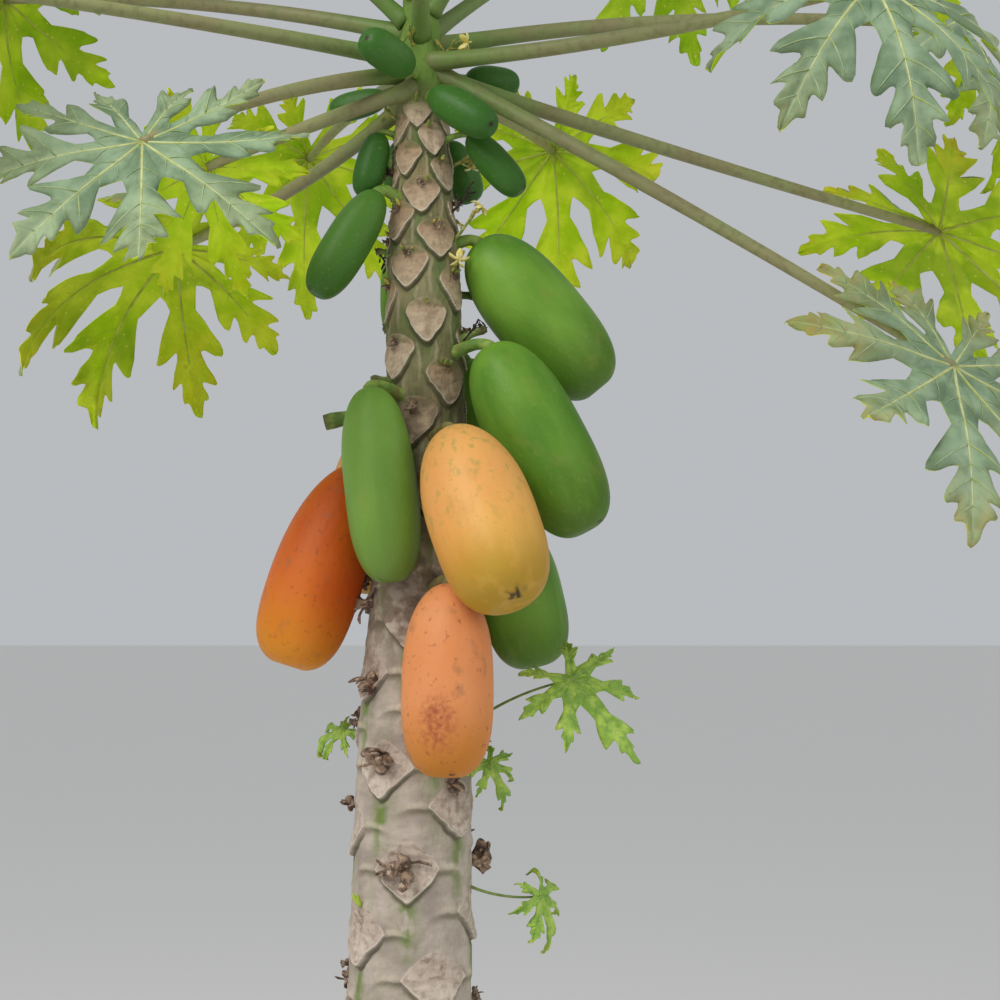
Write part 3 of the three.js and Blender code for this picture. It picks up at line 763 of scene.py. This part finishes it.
def blade_mesh(bm, blade, age):
    """The thin sheet of a blade, solid, with its own values for the ribs and the yellowing."""
    near_rib = bm.verts.layers.float.new("near_rib")
    yellow = bm.verts.layers.float.new("yellow")
    for lobe in blade.lobes:
        rows = blade.rows(lobe)
        made = bmesh.ops.create_grid(
            bm, x_segments=len(rows) - 1, y_segments=2 * HALF_COLUMNS, size=0.5
        )["verts"]
        for vert in made:
            along = rows[round((vert.co.x + 0.5) * (len(rows) - 1))]
            side = round(vert.co.y * 2 * HALF_COLUMNS)
            share = abs(side) / HALF_COLUMNS
            vert.co = blade.at(lobe, along, 1 if side >= 0 else -1, share)
            part = along / lobe["reach"]
            vert[near_rib] = 1 - share
            vert[yellow] = age * smooth(0.35, 1.0, part * (0.7 + 0.3 * share) + 0.5 * lobe["age"] - 0.2)
    bmesh.ops.remove_doubles(bm, verts=bm.verts, dist=2e-5)
    bmesh.ops.dissolve_degenerate(bm, dist=1e-6, edges=bm.edges)
    bm.normal_update()
    upper = set(bm.faces)
    bmesh.ops.solidify(bm, geom=bm.faces[:], thickness=BLADE_THICKNESS)
    for face in bm.faces:
        if face not in upper:
            face.material_index = 1


def give_faces(verts, number):
    """The faces at some vertices take the piece's finish of this number."""
    for vert in verts:
        for face in vert.link_faces:
            face.material_index = number


def rib_mesh(bm, blade):
    """The ribs and side veins, which stand out on both faces of the blade."""
    scale = blade.reach / 0.3
    side = bm.verts.layers.float.new("side")
    beneath = bm.verts.layers.float.new("beneath")
    for lobe in blade.lobes:
        reach = lobe["reach"]
        line = [blade.at(lobe, reach * 0.97 * i / 12, 1, 0) for i in range(13)]
        thick = RIB_RADIUS * scale * (0.55 + 0.45 * reach / blade.reach)
        made = tube(bm, line, thick, [1 - 0.86 * i / 12 for i in range(13)], 6)
        for place, big in SIDE_VEINS:
            for hand in (1, -1):
                line = [blade.at(lobe, reach * place, hand, share) for share in VEIN_SHARES]
                if (line[-1] - line[0]).length > SHORTEST_VEIN:
                    width = SIDE_VEIN_RADIUS * scale * big
                    vein = tube(bm, line, width, (1, 0.9, 0.75, 0.6, 0.4), 4)
                    hold(vein, side, 1.0)
                    made += vein
        for vert in made:
            vert.normal_update()
            vert[beneath] = smooth(0.2, -0.2, vert.normal.dot(blade.normal))
        give_faces(made, 2)


def aged(finish, shade, light, dark, blot):
    """The material of a blade's face, yellowed and blotted where the mesh says so."""
    yellow = finish.held("yellow")
    turned = finish.over(light, (finish.patches(46, 4, 0.36, 0.62), dark))
    shade = finish.over(shade, (yellow, turned), (finish.spots(26, 0.16), yellow, blot))
    return finish.painted(shade, finish.cloud(150, 3), 0.0014)


def upper_finish():
    finish = Finish("leaf_upper", 0.6, Specular_IOR_Level=0.4)
    patches = finish.patches(20, 4, 0.34, 0.68)
    fresh = finish.over("#5a8a3c", (patches, "#86ab5c"))
    rib = finish.spread(finish.held("near_rib"), 0.70, 1.0)
    shade = finish.over(
        "#678060", (patches, "#92aa88"), (finish.held("fresh"), fresh), (rib, 0.35, "#b4c4a0"),
    )
    return aged(finish, shade, "#b9b548", "#d0a83c", "#9a5f2c")


# The underside: its own yellow-green, painted brighter than it is as if sunlight shone through the
# leaf. This painted light is in all of its colours, the yellowed ones too.
def under_lit_through_finish():
    finish = Finish("leaf_under", 0.62, Specular_IOR_Level=0.12)
    patches = finish.patches(18, 4, 0.34, 0.68)
    fresh = finish.over("#6f9f28", (patches, "#8fb93c"))
    shade = finish.over(
        "#aad210", (patches, "#d3ea36"), (finish.patches(8, 3, 0.48, 0.62), 0.5, "#6f9e14"),
        (finish.held("fresh"), fresh), (finish.spots(70, 0.18), 0.7, "#e6de5c"),
    )
    return aged(finish, shade, "#d8d23a", "#e6bc34", "#a5672a")


def rib_finish():
    finish = Finish("leaf_rib", 0.6)
    patches = finish.patches(60, 3, 0.35, 0.68)
    vein = finish.over("#98aa80", (patches, "#adbe98"))
    below = finish.over("#98a82a", (patches, "#b6bc48"))
    return finish.painted(finish.over(
        "#b4bb74", (patches, "#ccd298"), (finish.held("side"), vein), (finish.held("beneath"), below),
    ))


def stalk_finish():
    finish = Finish("leaf_stalk", 0.55)
    outward, streaks = finish.held("outward"), finish.cloud(90, 3)
    shade = finish.over(
        "#66843a", (finish.spread(outward, 0.05, 0.35), "#7b8052"), (outward, "#999b68"),
        (finish.patches(14, 3, 0.40, 0.64), 0.4, "#8b735c"),
        (finish.spread(streaks, 0.48, 0.68), 0.4, "#68693c"), (finish.held("fresh"), "#648a3a"),
    )
    return finish.painted(shade, streaks, 0.0004)


def make_leaf(number, node, leaf, lobes, radii, fresh, finishes):
    line = stalk_line(leaf)
    last = len(line) - 1
    bm = bmesh.new()
    shares = [
        mix(radii["foot"], radii["end"], i / last) * (1 + 0.5 * math.exp(-i / 1.2))
        for i in range(last + 1)
    ]
    tube(bm, line, 1, shares, STALK_SIDES)
    outward = bm.verts.layers.float.new("outward")
    for vert in bm.verts:
        vert[outward] = min((vert.co - line[0]).length / leaf["length"], 1)
    hold(bm.verts, bm.verts.layers.float.new("fresh"), fresh)
    finished(f"{node}_stalk", bm, finishes[:1], node)

    bm = bmesh.new()
    blade = Blade(line[-1], leaf, lobes, number)
    blade_mesh(bm, blade, leaf["age"])
    rib_mesh(bm, blade)
    hold(bm.verts, bm.verts.layers.float.new("fresh"), fresh)
    finished(f"{node}_blade", bm, finishes[1:], node)


leaf_finishes = [stalk_finish(), upper_finish(), under_lit_through_finish(), rib_finish()]
crown = [(dict(zip(LEAF, row)), OLD_STALK_RADII, 0.0) for row in OLD_LEAVES]
first, final = dict(zip(LEAF, FIRST_YOUNG)), dict(zip(LEAF, LAST_YOUNG))
for i in range(YOUNG_LEAVES):
    share = i / (YOUNG_LEAVES - 1)
    radii = mixed(OLD_STALK_RADII, YOUNG_STALK_RADII, share)
    crown.append((mixed(first, final, share), radii, 0.3 + 0.7 * share))
for number, (leaf, radii, fresh) in enumerate(crown, 1):
    make_leaf(number, f"leaf_{number:02}", leaf, LOBES, radii, fresh, leaf_finishes)


# The shoots. Small bright leaves on thin stalks that have sprouted from old buds low on the
# trunk. They are soft and shiny, and too young for any wax.

SHOOTS = [
    (1.350, -22, -22, 23, 0.172, 24, 0.150, 44, 0, -44, 20, 0),
    (1.338, 160, 160, 4, 0.034, 24, 0.070, 14, 14, 40, 60, 0),
    (1.298, -24, -24, 2, 0.036, 24, 0.076, 56, 0, -30, 40, 0),
    (1.122, -10, -10, -6, 0.104, -30, 0.096, 66, 24, -48, 36, 0),
]
SHOOT_LOBES = [(0, 1), (46, 0.72), (92, 0.64), (140, 0.5)]
SHOOT_RADII = {"foot": 0.0022, "end": 0.0016}
SHOOT_SEED = 100
SHOOT_SHADES = {
    "stalk": ("#5f7a30", "#83984a"), "upper": ("#7ea83a", "#b0cf52"),
    "under": ("#8fb42c", "#c0d448"), "rib": ("#94b25c", "#b0c67c"),
}

shoot_finishes = []
for side, shades in SHOOT_SHADES.items():
    finish, shade = mottled(f"shoot_{side}", 0.45, *shades, 70, 3, 0.35, 0.68)
    shoot_finishes.append(finish.painted(shade, finish.cloud(300, 2), 0.0005))
for i, row in enumerate(SHOOTS):
    leaf = dict(zip(LEAF, row))
    name = f"shoot_{i + 1}"
    make_leaf(SHOOT_SEED + i, name, leaf, SHOOT_LOBES, SHOOT_RADII, 1.0, shoot_finishes)


# The fruit. Each is a long smooth berry that hangs from a thick green stalk above a leaf's scar.
# It has five faint ridges, a waxy skin with fine specks, and a dark dried star at its lower end.
# It ripens from green through yellow to orange.

FRUIT = {
    "green": [
        (-100, 0.064, 2.284, 0.092, 0.053, 112, -141, 1.1),
        (-75, 0.062, 2.252, 0.118, 0.055, 58, -26, 1.1),
        (-24, 0.076, 2.198, 0.115, 0.048, 41, -8, 1.1),
        (-168, 0.062, 2.205, 0.098, 0.046, 14, -165, 1.1),
        (-144, 0.076, 2.112, 0.180, 0.067, 31, -160, 1.1),
        (46, 0.092, 2.307, 0.084, 0.046, 88, 20, 1.2),
        (137, 0.070, 2.274, 0.092, 0.042, 80, 163, 1.2),
        (62, 0.078, 2.212, 0.098, 0.054, 28, 40, 1.2),
        (10, 0.080, 2.050, 0.280, 0.134, 40, 6, 1.1),
        (-34, 0.112, 1.888, 0.300, 0.134, 28, -8, 1.1),
        (-130, 0.117, 1.826, 0.278, 0.102, 9, -40, 1.1),
        (22, 0.123, 1.652, 0.228, 0.124, 14, 14, 1.2),
        (60, 0.110, 1.890, 0.262, 0.132, 20, 62, 1.3),
        (96, 0.092, 2.112, 0.215, 0.108, 26, 96, 1.3),
        (112, 0.076, 2.216, 0.084, 0.050, 24, 112, 1.2),
    ],
    "yellow": [
        (-72, 0.133, 1.764, 0.279, 0.150, 28, -50, 1.25),
        (124, 0.122, 1.796, 0.262, 0.138, 14, 115, 1.3),
    ],
    "orange": [
        (-174, 0.101, 1.722, 0.304, 0.134, 18, -170, 1.5),
        (-72, 0.144, 1.550, 0.266, 0.126, 7, -94, 1.2),
        (86, 0.138, 1.580, 0.258, 0.134, 8, 90, 1.35),
    ],
}
FRUIT_COLUMNS = 52
FRUIT_ROWS = 40
FRUIT_FULLNESS = 2.7
SMALL_FRUIT = 0.130
FRUIT_STALK_RADII = (0.0048, 0.0092)
FRUIT_STALK_SWELL = (
    1.5, 1.35, 1.15, 1.05, 1, 0.97, 0.94, 0.92, 0.9, 0.88, 0.88, 0.9, 0.98, 1.12, 1.1,
)
RIDGES = 5
BRUISE = Vector((0.048, -0.222, 1.362))  # the middle of the bruise on the lowest orange fruit
BRUISE_REACH = 0.038
PALE_FRUIT = [("green", 11), ("orange", 2)]
STAR_ASIDE = 0.20  # how far out from the axis the star sits, as a share of the width
STAR_REACH = {"green": 0.006, "yellow": 0.013, "orange": 0.008}


# The end colour lies on the lower end of a hanging fruit. On green fruit it is darker: painted shade.
# On yellow fruit it is a darker green-brown: partly its own tint, partly painted shade. On orange fruit
# it is the yellower tint of the ripe end.
def skin_finish(kind, dark, light, end):
    """A fruit's skin: two shades in clouds, another towards its end, and fine streaks."""
    finish = Finish(f"fruit_{kind}", 0.47, Specular_IOR_Level=0.27)
    finish.place = finish.held("skin", "Vector")
    shade = finish.over(
        dark, (finish.patches(10, 3, 0.3, 0.7, (1, 1, 0.45)), light), (finish.held("end"), end),
        (finish.patches(50, 4, 0.5, 0.72, (1, 1, 0.14)), 0.22, light),
    )
    return finish, shade


def starred(finish, shade):
    """The material of a skin, with the dark star at its end."""
    shade = finish.over(shade, (finish.held("star"), "#33271a"))
    return finish.painted(shade, finish.cloud(110, 4, (1, 1, 0.6)), 0.0009)


def green_finish():
    finish, shade = skin_finish("green", "#508022", "#78a43a", "#4a6b18")
    blots = finish.patches(30, 5, 0.58, 0.74, (1, 1, 0.7))
    specks = finish.patches(210, 2, 0.60, 0.76)
    # Small fruit are painted a darker green: painted shade.
    return starred(finish, finish.over(
        shade, (finish.held("pale"), 0.28, "#92b45c"), (blots, 0.3, "#8f8f48"),
        (finish.held("small"), 0.85, "#2f6022"), (specks, 0.16, "#a5b56c"),
    ))


def yellow_finish():
    finish, shade = skin_finish("yellow", "#df9c44", "#edb85e", "#a58410")
    unripe = finish.held("unripe")
    mottle = finish.patches(80, 6, 0.52, 0.68, (1, 1, 0.7))
    stains = finish.patches(26, 5, 0.54, 0.74, (1, 1, 0.6))
    specks = finish.patches(170, 3, 0.62, 0.72)
    return starred(finish, finish.over(
        shade, (unripe, 0.6, "#eba566"), (mottle, unripe, 0.55, "#a09a50"),
        (stains, 0.3, "#c08a48"), (specks, 0.35, "#b98a3a"),
    ))


def orange_finish():
    finish, shade = skin_finish("orange", "#c9530f", "#dc7024", "#d98f1c")
    clouds = finish.cloud(14, 3, (1, 1, 0.6))
    # The pale orange fruit turns darker and yellower towards its lower end: partly painted shade.
    pale = finish.over("#db8244", (clouds, "#ea9f6a"), (finish.held("end"), "#bf7605"))
    blots = finish.patches(34, 5, 0.58, 0.72, (1, 1, 0.8))
    specks = finish.patches(120, 3, 0.60, 0.72)
    ragged = finish.patches(130, 5, 0.24, 0.74)
    return starred(finish, finish.over(
        shade, (finish.held("pale"), pale), (blots, 0.45, "#94694c"), (specks, 0.42, "#84462a"),
        (ragged, finish.held("bruise"), 0.95, "#9c4833"),
    ))


def fruit_stalk_finish(name, dark, light):
    finish, shade = mottled(name, 0.6, dark, light, 70, 3, 0.35, 0.65)
    shade = finish.over(shade, (finish.patches(40, 3, 0.54, 0.68), 0.6, "#7d6a44"))
    return finish.painted(shade, finish.cloud(240, 3), 0.001)


def fruit_mesh(bm, row, number, kind):
    angle, out, height, length, width, plumb, heading, taper = row
    names = ("end", "star", "unripe", "bruise", "pale", "small")
    held = {name: bm.verts.layers.float.new(name) for name in names}
    skin = bm.verts.layers.float_vector.new("skin")
    dealt = random.Random(f"{kind} {number}")
    shift = Vector([dealt.uniform(-5, 5) for _ in range(3)])
    lean = math.radians(plumb)
    axis = level(math.radians(heading)) * math.sin(lean) - UP * math.cos(lean)
    side = axis.cross(Vector((0, 1, 0))).normalized()
    front = side.cross(axis)
    neck = trunk_point(math.radians(angle), height, out)
    outward = level(math.radians(angle))
    outward = (outward - axis * outward.dot(axis)).normalized()
    star = neck + axis * (0.984 * length) + outward * (STAR_ASIDE * width)

    def place(vert, turn, step):
        along = (1 - math.cos(math.pi * step / FRUIT_ROWS)) / 2
        oval = 1 - abs(2 * along**taper - 1) ** FRUIT_FULLNESS
        radius = width / 2 * max(oval, 0) ** (1 / FRUIT_FULLNESS)
        round_angle = math.tau * (turn % 1)
        body = math.sin(math.pi * along)
        radius *= 1 + 0.012 * body * math.cos(RIDGES * round_angle + number)
        pucker = 0.004 * math.exp(-(((1 - along) / 0.004) ** 2)) * length / 0.28
        flat_x, flat_y = math.cos(round_angle) * radius, math.sin(round_angle) * radius
        local = Vector((flat_x, flat_y, along * length - pucker))
        local += local.normalized() * (0.0022 * body * noise.noise(local * 14 + shift))
        vert.co = neck + side * local.x + front * local.y + axis * local.z
        vert[skin] = local + shift
        young = smooth(0.220, 0.165, length)
        away = vert.co - star
        arms = 0.6 + 0.4 * math.cos(RIDGES * math.atan2(away.dot(front), away.dot(side)))
        reach = STAR_REACH[kind] * max(width, 0.10) / 0.13 * mix(arms, 0.9, young)
        vert[held["star"]] = 0.95 * smooth(1.25 * reach, 0.7 * reach, away.length)
        # Towards the lower end; the colour laid there is partly painted shade.
        vert[held["end"]] = 0.85 * smooth(0.55, 1.0, along)
        vert[held["unripe"]] = smooth(0.85, 0.35, along)
        bruised = vert.co - BRUISE
        bruised.z *= 0.65
        vert[held["bruise"]] = smooth(BRUISE_REACH, 0.2 * BRUISE_REACH, bruised.length)
        vert[held["pale"]] = 1.0 if (kind, number + 1) in PALE_FRUIT else 0.0
        # Small fruit take a darker green in the finish: painted shade.
        vert[held["small"]] = young

    rolled(bm, FRUIT_COLUMNS, FRUIT_ROWS, place)
    return neck, axis


def fruit_stalk_mesh(bm, row, neck, axis):
    """The stalk sets off outward and up from the trunk, then turns down into the neck."""
    angle, height, length = math.radians(row[0]), row[2], row[3]
    radius = FRUIT_STALK_RADII[0 if length < SMALL_FRUIT else 1]
    wood, root = trunk_radius(height), height - radius
    a = trunk_point(angle, root, wood - 1.5 * radius)
    b = trunk_point(angle, root + radius, wood + radius)
    c, d = neck - axis * 1.5 * radius, neck + axis * 0.5 * radius
    line = []
    for i in range(len(FRUIT_STALK_SWELL)):
        t = i / (len(FRUIT_STALK_SWELL) - 1)
        s = 1 - t
        line.append(a * s**3 + b * (3 * s * s * t) + c * (3 * s * t * t) + d * t**3)
    tube(bm, line, radius, FRUIT_STALK_SWELL, 14)


skins = {"green": green_finish(), "yellow": yellow_finish(), "orange": orange_finish()}
fresh_stalk = fruit_stalk_finish("fruit_stalk", "#5f8430", "#8ba448")
ripe_stalk = fruit_stalk_finish("ripe_fruit_stalk", "#6b6238", "#8f8350")
for kind, rows in FRUIT.items():
    stalk = fresh_stalk if kind == "green" else ripe_stalk
    for i, row in enumerate(rows):
        named, node, slot = f"papaya_{kind}_{i + 1}", f"fruit_{kind}_{i + 1}", f"fruit_{kind}"
        bm = bmesh.new()
        neck, axis = fruit_mesh(bm, row, i, kind)
        finished(named, bm, [skins[kind]], node)
        bm = bmesh.new()
        fruit_stalk_mesh(bm, row, neck, axis)
        finished(f"{named}_stalk", bm, [stalk], node)


# The flowers and buds. Below the crown small sprays of flowers grow out above the newest scars: a
# thin branched stalk, green buds, and here and there an open flower of five waxy, cream-yellow
# petals that curl back. Single buds sit above other scars, and old bark bears a few sprouts.

SPRAYS = [  # the heading, the height, the slope, the length, and how many of buds and flowers
    (-34, 2.310, 25, 0.042, 3, 1), (-20, 2.046, 36, 0.056, 2, 1), (-24, 2.008, 36, 0.030, 1, 1),
    (-166, 2.226, 20, 0.026, 3, 0), (150, 2.150, 18, 0.046, 4, 1), (65, 2.290, 30, 0.036, 4, 1),
    (100, 2.300, 30, 0.036, 3, 1), (20, 2.160, 18, 0.045, 4, 1), (-110, 2.330, 35, 0.030, 3, 0),
    (172, 2.310, 28, 0.034, 4, 1),
]
SPROUTS = [(-144, 1.098, 0.030), (40, 0.930, 0.015), (150, 1.480, 0.016)]
BUDS_FROM, BUDS_TO = 1.82, 2.28
NO_BUD = 0.35  # the share of the scars there that bear none
BUD_ROOT = 0.001
SPRAY_RADIUS = 0.0020
BUD_LENGTH = 0.012
PETAL_LENGTH = 0.018
PETAL_WIDTH = 0.0042
PETALS = 5


def bud_mesh(bm, root, way, length, number, stout=0.26):
    """A pointed bud, round at its foot."""
    line = [root + way * (length * i / 5) for i in range(6)]
    give_faces(tube(bm, line, stout * length, (0.5, 0.95, 1.0, 0.8, 0.5, 0.12), 8), number)


def flower_mesh(bm, root, way, dealt):
    """A short green tube, and the petals that spread from it and curl back."""
    across = way.cross(any_way(dealt)).normalized()
    mouth = root + way * 0.6 * PETAL_LENGTH
    bud_mesh(bm, root, way, 0.8 * PETAL_LENGTH, 0)
    for i in range(PETALS):
        side = across.copy()
        side.rotate(Matrix.Rotation(math.tau * i / PETALS, 3, way))
        out = (way * 0.7 + side).normalized()
        line = curled(mouth, out, out.cross(way), PETAL_LENGTH, -1.5, 6)
        give_faces(tube(bm, line, PETAL_WIDTH, (0.6, 0.9, 1.1, 1.2, 1.1, 0.8, 0.3), 6, 0.3), 1)


bm = bmesh.new()
dealt = random.Random(21)
for *spot, length, buds, flowers in SPRAYS:
    way, line = stem(*spot, length, 0.5)
    tube(bm, line, SPRAY_RADIUS, (2, 1.6, 1.3, 1.1, 1, 1, 1, 1, 0.9), 7)
    for i in range(buds + flowers):
        side = (way + any_way(dealt) * 1.1).normalized()
        twig = curled(line[min(3 + i, 8)], side, any_way(dealt), 0.35 * length, 0.8, 4)
        tube(bm, twig, SPRAY_RADIUS, (0.9, 0.75, 0.7, 0.7, 0.8), 6)
        on = (twig[-1] - twig[-2]).normalized()
        if i < buds:
            bud_mesh(bm, twig[-1], on, BUD_LENGTH * dealt.uniform(0.5, 1.1), 0)
        else:
            flower_mesh(bm, twig[-1], (on - UP * 0.6).normalized(), dealt)
for scar in SCARS:
    height = scar["shoulder"] + 0.6 * scar["above"]
    if not BUDS_FROM < height < BUDS_TO or dealt.random() < NO_BUD:
        continue
    for _ in range(dealt.randint(1, 3)):
        heading = scar["heading"] + dealt.uniform(-0.22, 0.22)
        way = (level(heading) + UP * dealt.uniform(0.2, 1.4)).normalized()
        root = on_bark(heading, height, BUD_ROOT)
        bud_mesh(bm, root, way, BUD_LENGTH * dealt.uniform(0.6, 1.2), 0)
for heading, height, length in SPROUTS:
    out = level(math.radians(heading))
    root = on_bark(math.radians(heading), height, BUD_ROOT)
    for side in (-0.5, 0.1, 0.6):
        way = (out * 0.6 + UP + out.cross(UP) * side).normalized()
        bud_mesh(bm, root, way, length * dealt.uniform(0.6, 1.1), 2, 0.12)
petal = mottled("flower_petal", 0.55, "#e6d36c", "#f3eab2", 140, 2, 0.4, 0.62)
bud = mottled("flower_bud", 0.6, "#6f8236", "#bcab52", 120, 3, 0.4, 0.62)
sprout = Finish("sprout", 0.5)
sprouts = (sprout, sprout.over("#8fb030", (sprout.cloud(90, 2), "#c4d848")))
finishes = [finish.painted(shade) for finish, shade in (bud, petal, sprouts)]
finished("flowers", bm, finishes)


# The growing tip. On the very top the next leaves stand close together, still furled: soft
# tapering green spears round the end of the trunk, each on its own short stalk.

SPEARS = 9
SPEAR_TURN = math.radians(137.5)
SPEAR_LENGTH = (0.150, 0.050)
SPEAR_RADIUS = 0.0055
SPEAR_DROP = 0.030  # how far the outermost starts below the tip
SPEAR_LEAN = (0.32, 0.06)

bm = bmesh.new()
for i in range(SPEARS):
    share = i / (SPEARS - 1)
    heading = SPEAR_TURN * i
    height = TRUNK_TOP - SPEAR_DROP * (1 - share)
    lean = mix(*SPEAR_LEAN, share)
    way = level(heading) * math.sin(lean) + UP * math.cos(lean)
    root = trunk_point(heading, height, 0.5 * trunk_radius(height))
    across = way.cross(UP).normalized()
    line = curled(root, way, across, mix(*SPEAR_LENGTH, share), 0.35, 9)
    tube(bm, line, SPEAR_RADIUS, (0.55, 0.5, 0.48, 0.5, 0.75, 1.0, 1.05, 0.85, 0.5, 0.12), 9)
drawn = (60, 3, 0.4, 0.62, (1, 1, 0.3))
finish, shade = mottled("growing_tip", 0.55, "#5f8a30", "#9dbb58", *drawn)
finished("growing_tip", bm, [finish.painted(shade)])


# The studio. A plain pale floor, soft light from above and from both sides, and a camera where
# the photographer stood: at eye level, three metres away, looking slightly up.

FLOOR_SIZE = 120
EYE = Vector((0.1325, -3.0, 1.5))
LOOK_UP = math.degrees(math.atan(0.0576))
LENS = 75
SKY = (0.93, 0.96, 1, 1)
SKY_LIGHT = 0.52
LIT_SPOT = Vector((0, 0, 1.7))  # the middle of the tree, which every lamp faces
LAMPS = [  # the name, the spot, the size, the power in watts and the colour
    ("key", (-2.2, -2.8, 4.8), 2.6, 148, (1, 0.98, 0.93)),
    ("side", (3.4, -1.6, 3.0), 2.4, 32, (1, 1, 1)),
]

bm = bmesh.new()
bmesh.ops.create_grid(bm, x_segments=1, y_segments=1, size=FLOOR_SIZE)
mesh = bpy.data.meshes.new("floor")
bm.to_mesh(mesh)
bm.free()
finish = Finish("floor", 0.9)
finish.shader.inputs["Base Color"].default_value = colour("#f0eeea")
mesh.materials.append(finish.material)
floor = placed("floor", mesh, (0, 0, 0))

for name, spot, size, power, shade in LAMPS:
    lamp = bpy.data.lights.new(name, "AREA")
    lamp.size = size
    lamp.energy = power
    lamp.color = shade
    stand = placed(name, lamp, spot)
    stand.rotation_mode = "QUATERNION"
    stand.rotation_quaternion = (Vector(spot) - LIT_SPOT).to_track_quat("Z", "Y")

world = bpy.data.worlds.new("studio")
world.use_nodes = True
sky = world.node_tree.nodes["Background"].inputs
sky["Color"].default_value = SKY
sky["Strength"].default_value = SKY_LIGHT
bpy.context.scene.world = world

lens = bpy.data.cameras.new("camera")
lens.lens = LENS
lens.sensor_width = 36
camera = placed("camera", lens, EYE)
camera.rotation_euler = (math.radians(90 + LOOK_UP), 0, 0)
bpy.context.scene.camera = camera
bpy.context.scene.view_settings.view_transform = "Standard"
